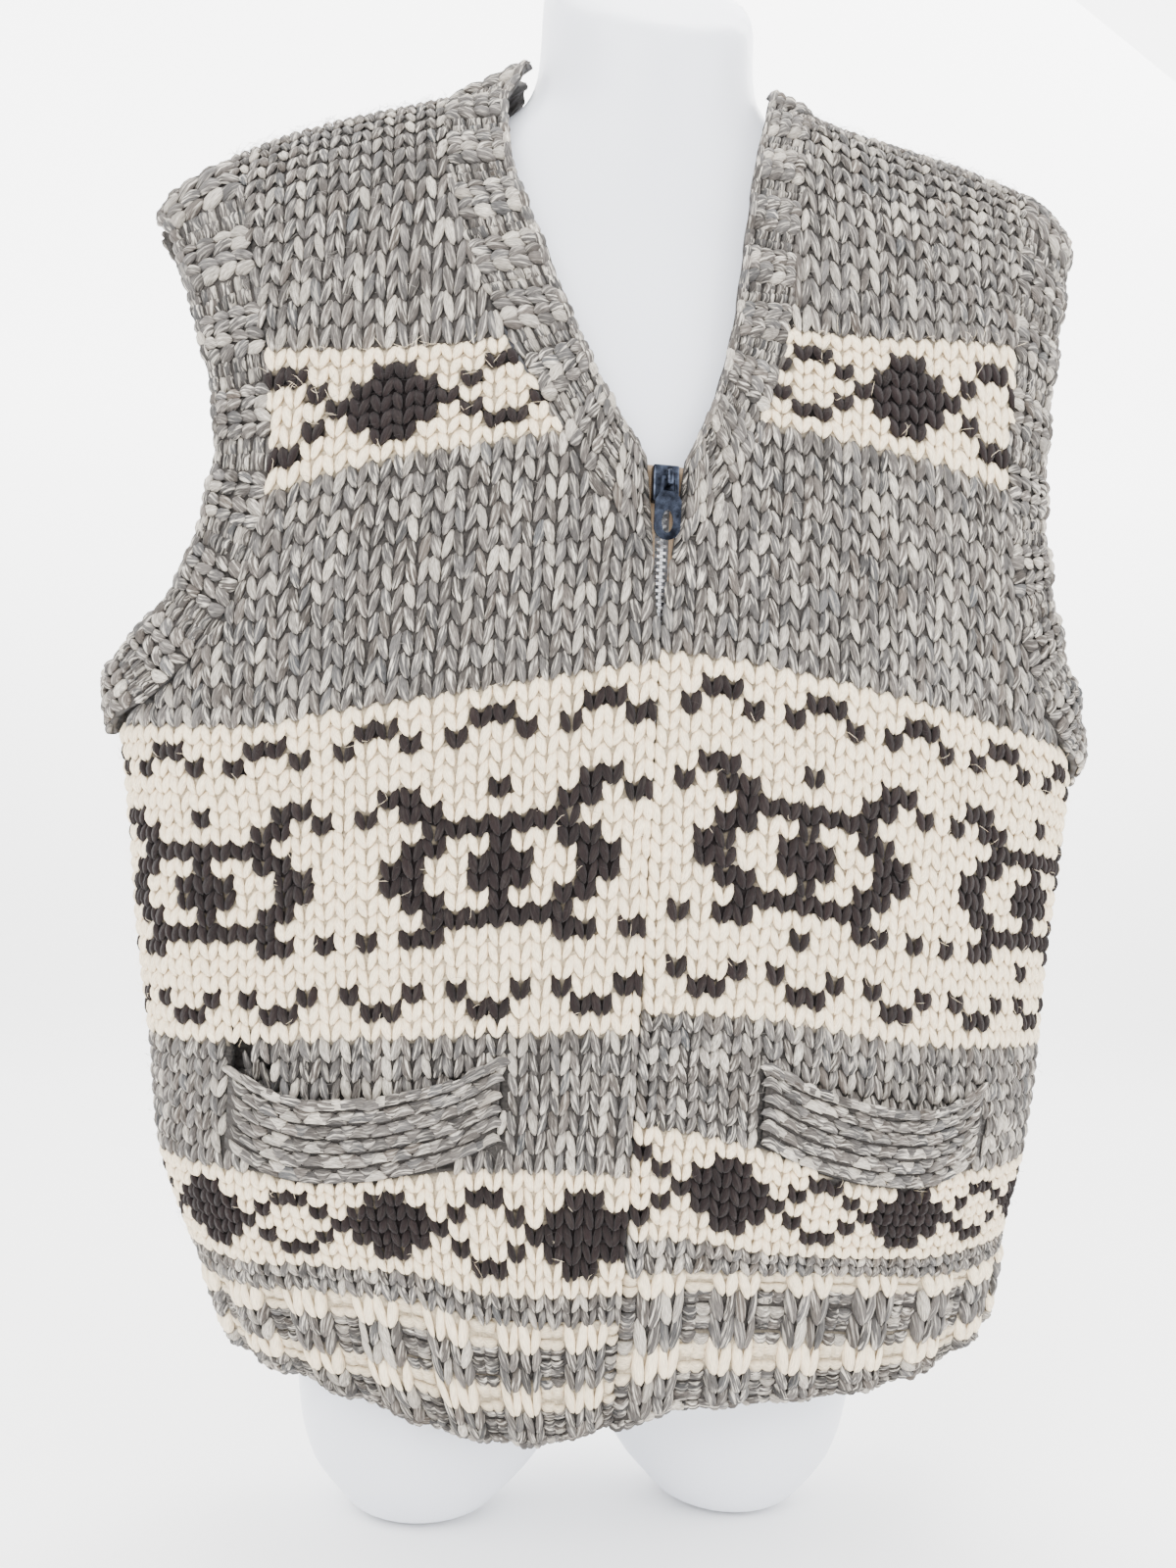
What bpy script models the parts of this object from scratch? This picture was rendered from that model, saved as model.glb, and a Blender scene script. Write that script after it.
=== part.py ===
"""Cowichan vest on a limbless torso form.

Metres, +Z up. The front faces -Y and the wearer's right is at -X. The part stands on the flat
ends of the form's two thigh stubs, at z = 0. Left and right in names are the wearer's. The
tables below are in the vest's own frame, and ORIGIN_SHIFT puts it under the whole part's middle.

The vest is one surface of superellipse sections. A point on it is named by a column, 0 at the
middle of the front or back and 1 at the side, and by a knitted row, 0 at the hem and RIDGE_ROW
at the shoulder seam. Every piece is a wall through a grid of such points.
"""
import math

import bmesh
import bpy
import numpy as np
from mathutils import Matrix, Vector

COLLECTION = "cowichan_vest"

# Driving sizes
WALL_IN = 0.0025
WALL_OUT = 0.0025
BAND_OUT = 0.0040
SEAM = 0.0004
SQUARENESS = 2.3
COLUMN_HEIGHT = 0.48
ROW_STEPS = 48
RIB_ROWS = 6
BEND_ROW = 59
RIDGE_ROW = 75
RIDGE_Z = (0.6265, 0.722)
HEM_ROWS = (0.0, 0.4, 3.0, 5.95)
HEM_SWELL = (0.4, 1.0, 1.0, 0.8)
RIB_RISE = (0.10, 0.32, 0.68, 0.90)
RIB_SINK = 0.0015
ROW_SEAM = 0.04
RIBS_PER_QUARTER = 7
RIB_RELIEF = 0.0035
PANEL_COLUMNS = 12
ORIGIN_SHIFT = (0.0, 0.0056, 0.0100)

# The vest's sections: height, half widths to the wearer's right and left, front and back depths
SECTIONS = {
    "z": (0.040, 0.056, 0.085, 0.110, 0.140, 0.175, 0.220, 0.270, 0.320, 0.385, 0.430, 0.480,
          0.530, 0.580, 0.610, 0.628, 0.645, 0.660, 0.672, 0.682, 0.692, 0.702, 0.713, 0.722),
    "right": (0.140, 0.151, 0.174, 0.185, 0.199, 0.211, 0.217, 0.225, 0.231, 0.239, 0.240, 0.237,
              0.2355, 0.2345, 0.234, 0.232, 0.214, 0.190, 0.165, 0.138, 0.110, 0.085, 0.061, 0.045),
    "left": (0.202, 0.205, 0.209, 0.213, 0.217, 0.2245, 0.229, 0.231, 0.2355, 0.239, 0.238, 0.236,
             0.235, 0.2345, 0.234, 0.233, 0.230, 0.2195, 0.182, 0.122, 0.090, 0.070, 0.052, 0.040),
    "front": (0.082, 0.083, 0.085, 0.088, 0.091, 0.094, 0.096, 0.097, 0.098, 0.098, 0.096, 0.092,
              0.086, 0.077, 0.069, 0.0635, 0.057, 0.0515, 0.046, 0.041, 0.035, 0.028, 0.019, 0.014),
    "back": (0.073, 0.074, 0.076, 0.079, 0.082, 0.085, 0.087, 0.088, 0.088, 0.088, 0.088, 0.088,
             0.087, 0.085, 0.083, 0.081, 0.079, 0.0765, 0.074, 0.0715, 0.069, 0.066, 0.061, 0.058),
}

# Heights of the knitted rows of each side, one line for a row and one value for a distance x
ROWS = {
    "row": (0, 2, 3, 5, 6, 8, 15, 22, 41, 52, 59),
    "x": (0.0, 0.03, 0.06, 0.10, 0.14, 0.18, 0.24),
    "right": (
        (0.0640, 0.0545, 0.0560, 0.0662, 0.0765, 0.0800, 0.0810),
        (0.0745, 0.0690, 0.0700, 0.0800, 0.0840, 0.0870, 0.0880),
        (0.0850, 0.0810, 0.0822, 0.0905, 0.0935, 0.0950, 0.0960),
        (0.1020, 0.0985, 0.0995, 0.1085, 0.1095, 0.1065, 0.1070),
        (0.1125, 0.1100, 0.1120, 0.1205, 0.1210, 0.1175, 0.1180),
        (0.1250, 0.1230, 0.1240, 0.1325, 0.1325, 0.1290, 0.1290),
        (0.1790, 0.1800, 0.1800, 0.1750, 0.1710, 0.1715, 0.1700),
        (0.2430, 0.2425, 0.2400, 0.2375, 0.2340, 0.2290, 0.2240),
        (0.4085, 0.4017, 0.3950, 0.3862, 0.3780, 0.3690, 0.3680),
        (0.5120, 0.5100, 0.5065, 0.4985, 0.4865, 0.4720, 0.4600),
        (0.5620, 0.5600, 0.5575, 0.5530, 0.5480, 0.5470, 0.5460),
    ),
    "left": (
        (0.0600, 0.0690, 0.0703, 0.0710, 0.0735, 0.0823, 0.0930),
        (0.0820, 0.0875, 0.0865, 0.0835, 0.0820, 0.0870, 0.0980),
        (0.0970, 0.1015, 0.1005, 0.0970, 0.0935, 0.0965, 0.1060),
        (0.1240, 0.1265, 0.1250, 0.1225, 0.1190, 0.1162, 0.1210),
        (0.1345, 0.1345, 0.1330, 0.1305, 0.1270, 0.1245, 0.1285),
        (0.1510, 0.1490, 0.1430, 0.1385, 0.1355, 0.1345, 0.1370),
        (0.2020, 0.1975, 0.1900, 0.1800, 0.1740, 0.1740, 0.1760),
        (0.2520, 0.2520, 0.2500, 0.2440, 0.2380, 0.2350, 0.2310),
        (0.4130, 0.4110, 0.4080, 0.4020, 0.3960, 0.3890, 0.3780),
        (0.5230, 0.5220, 0.5190, 0.5150, 0.5110, 0.5040, 0.5000),
        (0.5660, 0.5660, 0.5660, 0.5680, 0.5730, 0.5775, 0.5800),
    ),
}

# Armholes: the panel's edge and the opening's edge, from the underarm up to the shoulder
ARMHOLE = {
    "right_panel_x": (0.260, 0.236, 0.220, 0.207, 0.195, 0.185, 0.1785, 0.1755, 0.174, 0.1745,
                      0.1768, 0.1798, 0.1828, 0.1865, 0.191, 0.1955, 0.199, 0.202),
    "right_panel_z": (0.364, 0.370, 0.381, 0.394, 0.410, 0.430, 0.451, 0.470, 0.490, 0.510,
                      0.530, 0.551, 0.572, 0.592, 0.612, 0.632, 0.645, 0.6545),
    "right_edge_x": (0.260, 0.2385, 0.2325, 0.2235, 0.2145, 0.2075, 0.203, 0.200, 0.1985, 0.199,
                     0.201, 0.2055, 0.2105, 0.216, 0.222, 0.228, 0.231, 0.2335),
    "right_edge_z": (0.385, 0.390, 0.403, 0.414, 0.428, 0.444, 0.4605, 0.475, 0.490, 0.506,
                     0.522, 0.542, 0.562, 0.581, 0.600, 0.614, 0.621, 0.6265),
    "left_panel_x": (0.260, 0.236, 0.220, 0.207, 0.196, 0.187, 0.181, 0.1775, 0.176, 0.1755,
                     0.176, 0.1775, 0.1795, 0.1815, 0.184, 0.188, 0.192, 0.196),
    "left_panel_z": (0.364, 0.370, 0.381, 0.394, 0.410, 0.430, 0.451, 0.470, 0.490, 0.510,
                     0.530, 0.551, 0.572, 0.592, 0.614, 0.638, 0.655, 0.6675),
    "left_edge_x": (0.260, 0.240, 0.2345, 0.2255, 0.217, 0.210, 0.2055, 0.202, 0.200, 0.1995,
                    0.200, 0.2015, 0.2045, 0.2085, 0.2125, 0.217, 0.2205, 0.2235),
    "left_edge_z": (0.385, 0.390, 0.403, 0.414, 0.428, 0.444, 0.4605, 0.475, 0.490, 0.506,
                    0.522, 0.542, 0.562, 0.581, 0.600, 0.618, 0.634, 0.6545),
}

# Neck: the front panels' edge and the opening's edge, from the zip up to the shoulder
NECK = {
    "right_panel_x": (0.0045, 0.042, 0.0755, 0.0895, 0.101, 0.1025, 0.098),
    "right_panel_z": (0.455, 0.500, 0.565, 0.600, 0.650, 0.680, 0.698),
    "right_edge_x": (0.0090, 0.028, 0.0455, 0.0575, 0.0725, 0.0745, 0.060),
    "right_edge_z": (0.498, 0.528, 0.565, 0.600, 0.650, 0.680, 0.713),
    "left_panel_x": (0.0045, 0.037, 0.057, 0.061, 0.068, 0.074, 0.082),
    "left_panel_z": (0.455, 0.500, 0.565, 0.600, 0.650, 0.676, 0.692),
    "left_edge_x": (0.0090, 0.0215, 0.0305, 0.0355, 0.0437, 0.051, 0.060),
    "left_edge_z": (0.498, 0.528, 0.565, 0.600, 0.650, 0.677, 0.7045),
}

# The wearer's right shoulder hangs lower: how far, and between which distances and heights
DROOP = 0.0145
DROOP_X = (0.030, 0.100)
DROOP_Z = (0.450, 0.620)
DROOP_NECK_Z = (0.715, 0.760)
UNDERARM_LIFT = 0.0070
UNDERARM_REACH = 0.16
NECK_CORNER_STEPS = (0.80, 0.91, 0.97, 1.0)
BACK_NECK_PANEL_Z = 0.668
BACK_NECK_EDGE_Z = 0.698

# Half of the gap between the fronts at the zip
ZIP_GAP = {
    "z": (0.050, 0.420, 0.440, 0.455, 0.478, 0.498),
    "half": (0.0006, 0.0006, 0.0030, 0.0045, 0.0074, 0.0082),
}

# Soft folds: which side of the body, place, half sizes across and up, slant and depth
FOLDS = {
    "face": ("front", "front", "front", "front", "back", "back", "back", "back", "back"),
    "x": (-0.170, 0.178, -0.155, 0.150, -0.120, 0.125, 0.020, -0.150, 0.155),
    "z": (0.300, 0.310, 0.140, 0.150, 0.300, 0.290, 0.180, 0.450, 0.460),
    "across": (0.018, 0.018, 0.016, 0.018, 0.020, 0.020, 0.026, 0.018, 0.018),
    "up": (0.070, 0.075, 0.045, 0.045, 0.080, 0.085, 0.060, 0.060, 0.060),
    "slant": (0.25, -0.25, 0.10, -0.10, 0.20, -0.22, 0.05, 0.35, -0.35),
    "depth": (-0.004, -0.004, 0.003, 0.003, -0.005, -0.005, 0.004, -0.004, -0.004),
}

# Pocket mouth: distance from the zip and height of its lower lip
MOUTH = {
    "x": (0.060, 0.080, 0.100, 0.120, 0.140, 0.160, 0.178),
    "z": (0.2280, 0.2180, 0.2115, 0.2070, 0.2055, 0.2085, 0.2165),
}
MOUTH_GAP = 0.010
WELT_HEIGHT = 0.036
WELT_PROUD = 0.0012
WELT_LEAN = 0.0040
LINING_RIM = 0.006
LINING_BOTTOM = 0.122
LINING_DEPTH = 0.0120
LINING_WALL = 0.0018
LINING_RIM_SHARE = 0.125
LINING_CLEAR = 0.0005
LINING_CURVE_CLEAR = 0.0022

# Zip
TAPE_INNER_X = 0.0032
TAPE_OUTER_X = 0.0165
TAPE_THICK = 0.0012
TEETH_INNER_X = 0.0002
TEETH_OUTER_X = 0.0029
TEETH_THICK = 0.0026
ZIP_BOTTOM = 0.062
TEETH_TOP = 0.4890
TAPE_TOP = 0.4960
SLIDER_BOTTOM = 0.478
SLIDER_TOP = 0.495
SLIDER_HALF = 0.0060
SLIDER_FRONT = 0.0030
SLIDER_CHANNEL = 0.0023
SLIDER_REAR = 0.0016
SLIDER_JOIN = 0.0008
WEDGE_HALF = 0.0022
ZIP_CLEAR = 0.0003
TAPE_CLEAR = 0.0004
LUG_HALF = 0.0015
LUG_REACH = 0.0118
LUG_HALF_HEIGHT = 0.0036
PIVOT_Z = 0.487
PIVOT_OUT = 0.0087
EYE_RADIUS = 0.0014
PULL_THICK = 0.0014
PULL_HALF = 0.0060
PULL_NECK_HALF = 0.0042
PULL_LENGTH = 0.0275

# Torso form: height, half width, front and back depths
FORM = {
    "z": (0.058, 0.062, 0.070, 0.090, 0.130, 0.200, 0.270, 0.330, 0.400, 0.460, 0.520, 0.580,
          0.620, 0.640, 0.655, 0.668, 0.678, 0.688, 0.698, 0.710, 0.740, 0.820),
    "half": (0.094, 0.116, 0.128, 0.140, 0.148, 0.145, 0.128, 0.132, 0.145, 0.150, 0.160, 0.168,
             0.168, 0.160, 0.145, 0.120, 0.094, 0.070, 0.058, 0.050, 0.030, 0.020),
    "front": (0.046, 0.058, 0.064, 0.068, 0.068, 0.064, 0.062, 0.070, 0.084, 0.084, 0.078, 0.066,
              0.054, 0.048, 0.043, 0.038, 0.034, 0.029, 0.023, 0.018, 0.010, 0.008),
    "back": (0.044, 0.056, 0.062, 0.067, 0.071, 0.067, 0.060, 0.062, 0.070, 0.074, 0.077, 0.0775,
             0.0770, 0.0758, 0.0738, 0.0705, 0.065, 0.058, 0.050, 0.036, 0.020, 0.010),
}
FORM_LEVELS = (0.058, 0.062, 0.070, 0.090, 0.130, 0.170, 0.220, 0.270, 0.320, 0.370, 0.420,
               0.470, 0.520, 0.560, 0.595, 0.620, 0.638, 0.652, 0.664, 0.675, 0.685, 0.694)
FORM_AROUND = 40
NECK_RADIUS = 0.0545
NECK_CENTRE_Y = 0.006
NECK_FRONT_TOP = 0.7075
NECK_BACK_TOP = 0.800
NECK_STEPS = 5
NECK_BLEND = 12.0
NECK_FADE = (0.30, 0.60)
NECK_LEAST = 0.05
STUB = {
    "z": (-0.010, -0.006, 0.001, 0.018, 0.044, 0.080, 0.110),
    "inner": (0.050, 0.043, 0.037, 0.021, 0.008, 0.003, 0.003),
    "outer": (0.110, 0.114, 0.119, 0.133, 0.140, 0.143, 0.141),
    "depth": (0.026, 0.034, 0.041, 0.049, 0.0545, 0.0535, 0.049),
}
STUB_AROUND = 28

# Finishes: colour, roughness and how metallic
WOOL_CREAM = ((0.84, 0.80, 0.70, 1.0), 0.95, 0.0)
WOOL_GREY = ((0.33, 0.32, 0.30, 1.0), 0.95, 0.0)
FORM_WHITE = ((0.80, 0.82, 0.87, 1.0), 0.38, 0.0)
TAPE_TAN = ((0.30, 0.22, 0.15, 1.0), 0.85, 0.0)
METAL_TEETH = ((0.62, 0.63, 0.65, 1.0), 0.30, 1.0)
METAL_DARK = ((0.16, 0.17, 0.20, 1.0), 0.35, 1.0)


def smooth(table_z, table_value, z):
    """Read a table at z along a smooth curve through its points."""
    zs = np.asarray(table_z, float)
    values = np.asarray(table_value, float)
    steps = np.diff(values) / np.diff(zs)
    slopes = np.empty_like(values)
    slopes[0], slopes[-1] = steps[0], steps[-1]
    inner = steps[:-1] * steps[1:]
    slopes[1:-1] = np.where(inner > 0, 2 * inner / (steps[:-1] + steps[1:] + 1e-12), 0.0)
    z = np.clip(z, zs[0], zs[-1])
    cell = np.clip(np.searchsorted(zs, z, side="right") - 1, 0, len(zs) - 2)
    width = zs[cell + 1] - zs[cell]
    t = (z - zs[cell]) / width
    return (
        (2 * t**3 - 3 * t**2 + 1) * values[cell]
        + (t**3 - 2 * t**2 + t) * width * slopes[cell]
        + (3 * t**2 - 2 * t**3) * values[cell + 1]
        + (t**3 - t**2) * width * slopes[cell + 1]
    )


def section(name, z):
    """One size of the vest's section at height z."""
    return smooth(SECTIONS["z"], SECTIONS[name], z)


def unit_columns():
    """Columns spaced evenly along a quarter section, as shares of its width and depth."""
    angle = np.linspace(0.0, math.pi / 2, 600)
    across = np.sin(angle) ** (2 / SQUARENESS)
    deep = np.cos(angle) ** (2 / SQUARENESS)
    width, depth = section("left", COLUMN_HEIGHT), section("front", COLUMN_HEIGHT)
    run = np.hypot(np.diff(across) * width, np.diff(deep) * depth)
    length = np.concatenate([[0.0], np.cumsum(run)])
    return length / length[-1], across


COLUMN_SHARE, COLUMN_ACROSS = unit_columns()


def across_at(column):
    """Share of the half width at a column."""
    return np.interp(column, COLUMN_SHARE, COLUMN_ACROSS)


def column_at(across):
    """Column at a share of the half width."""
    return np.interp(across, COLUMN_ACROSS, COLUMN_SHARE)


def side_name(side):
    """The section column for a side, -1 the wearer's right and 1 the left."""
    return "left" if side > 0 else "right"


def ridge_z(x, side):
    """Height of the shoulder seam at a distance x from the middle."""
    z = np.linspace(*RIDGE_Z, 300)
    return np.interp(-np.abs(x), -section(side_name(side), z), z)


def back_top_z(x, side):
    """Height of the back panel's top edge: its neck curve, then the shoulder seam."""
    reach = NECK[side_name(side) + "_panel_x"][-1]
    rise = (ridge_z(reach, side) - BACK_NECK_PANEL_Z) * (np.abs(x) / reach) ** 2
    return np.where(np.abs(x) < reach, BACK_NECK_PANEL_Z + rise, ridge_z(x, side))


def dense_rows(name):
    """A side's table of row heights, read along smooth curves at many even distances."""
    x = np.linspace(ROWS["x"][0], ROWS["x"][-1], ROW_STEPS + 1)
    return np.array([smooth(ROWS["x"], heights, x) for heights in ROWS[name]])


ROW_TABLES = {name: dense_rows(name) for name in ("right", "left")}


def front_row_z(row, x, side):
    """Height of a row below the bend, on a front or at the side seam."""
    table = ROW_TABLES[side_name(side)]
    row, x = np.broadcast_arrays(np.asarray(row, float), np.abs(np.asarray(x, float)))
    place = np.clip(x / ROWS["x"][-1], 0.0, 1.0) * ROW_STEPS
    line = np.interp(row, ROWS["row"], np.arange(len(ROWS["row"])))
    column, level = np.minimum(place.astype(int), ROW_STEPS - 1), np.minimum(
        line.astype(int), len(ROWS["row"]) - 2)
    s, t = place - column, line - level
    low = table[level, column] * (1 - s) + table[level, column + 1] * s
    high = table[level + 1, column] * (1 - s) + table[level + 1, column + 1] * s
    return low * (1 - t) + high * t


def back_row_z(row, x, side):
    """Height of a row on the back: from the sides' mean at the middle to the front's at the seam."""
    middle = (front_row_z(row, 0.0, -1) + front_row_z(row, 0.0, 1)) / 2
    seam_z = middle
    for _ in range(4):
        seam_x = section(side_name(side), np.minimum(seam_z, COLUMN_HEIGHT))
        seam_z = front_row_z(row, seam_x, side)
    return middle + (seam_z - middle) * np.minimum(np.abs(x) / seam_x, 1.0) ** 2


def row_z(row, x, side, face):
    """Height of a knitted row at a distance x from the middle."""
    low = np.minimum(row, BEND_ROW)
    z = front_row_z(low, x, side) if face == "front" else back_row_z(low, x, side)
    top = ridge_z(x, side) if face == "front" else back_top_z(x, side)
    turn = np.clip((row - BEND_ROW) / (RIDGE_ROW - BEND_ROW), 0.0, 1.0)
    return z + (top - z) * np.sin(turn * math.pi / 2)


def row_at(x, z, side, face):
    """Knitted row that passes through a point, for arrays of points."""
    rows = np.linspace(0, RIDGE_ROW, 400)
    found = [
        np.interp(one_z, row_z(rows, np.full_like(rows, one_x), side, face), rows)
        for one_x, one_z in zip(x, z)
    ]
    return np.array(found)


def spot(column, row, side, face):
    """Distance from the middle and height of a column and row."""
    z = front_row_z(row, 0.0, side)
    for _ in range(4):
        width = section(side_name(side), np.minimum(z, COLUMN_HEIGHT))
        x = width * across_at(column)
        z = row_z(row, x, side, face)
    return x, z


def fold_push(x, z, face):
    """How far the soft folds push the surface out, a sum of bell curves."""
    push = np.zeros_like(x)
    for name, fx, fz, across, up, slant, depth in zip(*FOLDS.values()):
        if name == face:
            du = (x - fx - slant * (z - fz)) / across
            dv = (z - fz) / up
            push = push + depth * np.exp(-du * du - dv * dv)
    return push


def ease(value, span):
    """A smooth rise from 0 to 1 as a value crosses a span."""
    t = np.clip((value - span[0]) / (span[1] - span[0]), 0.0, 1.0)
    return t * t * (3 - 2 * t)


def droop(points):
    """Points with the wearer's right shoulder let down."""
    z = points[..., 2]
    low = ease(-points[..., 0], DROOP_X) * ease(z, DROOP_Z) * (1 - ease(z, DROOP_NECK_Z))
    return np.stack([points[..., 0], points[..., 1], z - DROOP * low], axis=-1)


def surface(x, z, side, face, out):
    """Points of the vest at distance x and height z, moved out along the surface's normal."""
    x = np.abs(np.asarray(x, float))
    z = np.asarray(z, float)
    name = side_name(side)
    a, b = section(name, z), section(face, z)
    share = np.clip(x / a, 0.0, 1.0)
    deep = (1 - share**SQUARENESS) ** (1 / SQUARENESS)
    step = 0.001
    slope_a = (section(name, z + step) - section(name, z - step)) / (2 * step)
    slope_b = (section(face, z + step) - section(face, z - step)) / (2 * step)
    nx = share ** (SQUARENESS - 1) / a
    ny = deep ** (SQUARENESS - 1) / b
    nz = -(share**SQUARENESS) * slope_a / a - deep**SQUARENESS * slope_b / b
    size = np.sqrt(nx * nx + ny * ny + nz * nz)
    out = out + fold_push(x * side, z, face)
    facing = -1.0 if face == "front" else 1.0
    seam_y = SEAM / 2
    px = side * (x + out * nx / size)
    py = facing * (b * deep + out * ny / size + seam_y)
    pz = z + out * nz / size
    return droop(np.stack([px, py, pz], axis=-1))


def material(name, finish):
    """A Principled material."""
    made = bpy.data.materials.new(name)
    made.use_nodes = True
    shader = made.node_tree.nodes["Principled BSDF"]
    shader.inputs["Base Color"].default_value = finish[0]
    shader.inputs["Roughness"].default_value = finish[1]
    shader.inputs["Metallic"].default_value = finish[2]
    return made


def add_object(name, mesh, finish, home, parent):
    """Link a mesh as a named object with its own material, under the part's empty."""
    mesh.materials.clear()
    mesh.materials.append(material(name + "_finish", finish))
    made = bpy.data.objects.new(name, mesh)
    home.objects.link(made)
    made.parent = parent
    mesh.shade_smooth()
    mesh.set_sharp_from_angle(angle=math.radians(40))
    return made


def wall_mesh(name, outer, inner, closed=False):
    """A closed wall between two grids of points, the outer one and the inner one behind it."""
    rows, cols = outer.shape[:2]
    count = rows * cols
    points = np.concatenate([outer.reshape(-1, 3), inner.reshape(-1, 3)])
    faces = []
    row_pairs = [(i, (i + 1) % rows) for i in range(rows if closed else rows - 1)]
    for i, k in row_pairs:
        for j in range(cols - 1):
            quad = (i * cols + j, i * cols + j + 1, k * cols + j + 1, k * cols + j)
            faces.append(quad)
            faces.append(tuple(count + v for v in reversed(quad)))
        for j in (0, cols - 1):
            faces.append((i * cols + j, k * cols + j, count + k * cols + j, count + i * cols + j))
    if not closed:
        for i in (0, rows - 1):
            for j in range(cols - 1):
                a, b = i * cols + j, i * cols + j + 1
                faces.append((a, b, count + b, count + a))
    mesh = bpy.data.meshes.new(name)
    mesh.from_pydata(points.tolist(), [], faces)
    return outward(mesh)


def outward(mesh):
    """Turn a closed mesh's faces outward, and split its quads along their shorter diagonal."""
    work = bmesh.new()
    work.from_mesh(mesh)
    bmesh.ops.recalc_face_normals(work, faces=work.faces)
    long_faces = [f for f in work.faces if len(f.verts) > 3]
    bmesh.ops.triangulate(work, faces=long_faces, quad_method="SHORT_EDGE")
    work.to_mesh(mesh)
    work.free()
    return mesh


def stack_mesh(name, rings):
    """A closed solid through rings of equal count, with flat ends."""
    work = bmesh.new()
    loops = [[work.verts.new(point) for point in ring] for ring in rings]
    for low, high in zip(loops, loops[1:]):
        for k in range(len(low)):
            n = (k + 1) % len(low)
            work.faces.new((low[k], low[n], high[n], high[k]))
    work.faces.new(list(reversed(loops[0])))
    work.faces.new(loops[-1])
    mesh = bpy.data.meshes.new(name)
    work.to_mesh(mesh)
    work.free()
    return outward(mesh)


def neck_foot_row(side):
    """The knitted row on which the neck's border meets the zip."""
    name = side_name(side)
    x, z = np.array(NECK[name + "_panel_x"][:1]), np.array(NECK[name + "_panel_z"][:1])
    return row_at(x, z, side, "front")[0]


def panel_rows(side, face):
    """The panel's knitted rows: even ones below the arm, then those of the armhole's stations."""
    x, z = armhole_line(side, "panel")
    upper = row_at(x, z, side, face)
    upper[-1] = RIDGE_ROW
    lower = np.linspace(RIB_ROWS, upper[0], PANEL_COLUMNS + 1)[:-1]
    rows = np.concatenate([lower, upper])
    return np.sort(np.append(rows, neck_foot_row(side))) if face == "front" else rows


def armhole_line(side, line):
    """Distances and heights along the armhole's panel edge or opening edge."""
    name = side_name(side)
    z = np.array(ARMHOLE[f"{name}_{line}_z"])
    return np.minimum(np.array(ARMHOLE[f"{name}_{line}_x"]), section(name, z)), z


def neck_line(rows, side, line):
    """Distances and heights along the neck's panel edge or opening edge, one for each row."""
    name = side_name(side)
    x = np.array(NECK[f"{name}_{line}_x"])
    z = np.array(NECK[f"{name}_{line}_z"])
    share = np.linspace(0.0, 1.0, len(x))
    panel_x = np.array(NECK[name + "_panel_x"])
    panel_row = row_at(panel_x, np.array(NECK[name + "_panel_z"]), side, "front")
    panel_row[-1] = RIDGE_ROW
    t = np.interp(rows, panel_row, share)
    x, z = smooth(share, x, t), smooth(share, z, t)
    return (x, row_z(rows, x, side, "front")) if line == "panel" else (x, z)


def zip_half_gap(z):
    """Half of the gap between the fronts."""
    return np.interp(z, ZIP_GAP["z"], ZIP_GAP["half"])


def front_panel_spots(side, rows):
    """Grid of distances and heights for a front, from the zip to the side or the armhole."""
    rows = np.asarray(rows, float)
    inner_x = zip_half_gap(front_row_z(rows, 0.0, side))
    neck_x, _ = neck_line(rows, side, "panel")
    inner_x = np.where(rows >= neck_foot_row(side), neck_x, inner_x)
    return panel_spots(side, "front", rows, np.linspace(0.0, 1.0, PANEL_COLUMNS + 1), inner_x)


def back_shares(side):
    """Where the back's columns run, from the middle to its edge, with one at the neck's corner."""
    name = side_name(side)
    shoulder = column_at(ARMHOLE[name + "_panel_x"][-1] / section(name, COLUMN_HEIGHT))
    corner = column_at(NECK[name + "_panel_x"][-1] / section(name, COLUMN_HEIGHT)) / shoulder
    near = corner * np.array(NECK_CORNER_STEPS)
    even = np.linspace(0.0, 1.0, PANEL_COLUMNS + 1)
    even = even[(even < near[0] - 0.03) | (even > near[-1] + 0.03)]
    return np.sort(np.concatenate([even, near])), corner


def panel_spots(side, face, rows, share, inner_x):
    """Grid of distances and heights between an inner edge and the side or the armhole."""
    line_x, line_z = armhole_line(side, "panel")
    edge_row = row_at(line_x, line_z, side, face)
    edge_row[-1] = RIDGE_ROW
    width = section(side_name(side), np.minimum(front_row_z(rows, 0.0, side), COLUMN_HEIGHT))
    first = column_at(inner_x / width)
    height = spot(np.ones_like(rows), rows, side, face)[1]
    width_edge = section(side_name(side), np.minimum(height, COLUMN_HEIGHT))
    last = np.where(
        rows <= edge_row[0] + 1e-6,
        1.0,
        column_at(np.interp(rows, edge_row, line_x) / width_edge),
    )
    column = first[:, None] + (last - first)[:, None] * share[None, :]
    row = np.repeat(rows[:, None], len(share), axis=1)
    x, z = spot(column, row, side, face)
    upper = rows > edge_row[0] + 1e-6
    edge_x, edge_z = np.interp(rows, edge_row, line_x), np.interp(rows, edge_row, line_z)
    x[upper, -1], z[upper, -1] = edge_x[upper], edge_z[upper]
    return x, z


def wall_grids(x, z, side, face, inside=WALL_IN, outside=WALL_OUT):
    """Outer and inner points of a wall through a grid of spots."""
    return surface(x, z, side, face, outside), surface(x, z, side, face, -inside)


def front_mesh(name, side):
    """One front, from the rib's top to the shoulder."""
    rows = panel_rows(side, "front")
    rows[0] += ROW_SEAM
    x, z = front_panel_spots(side, rows)
    return wall_mesh(name, *wall_grids(x, z, side, "front"))


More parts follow.
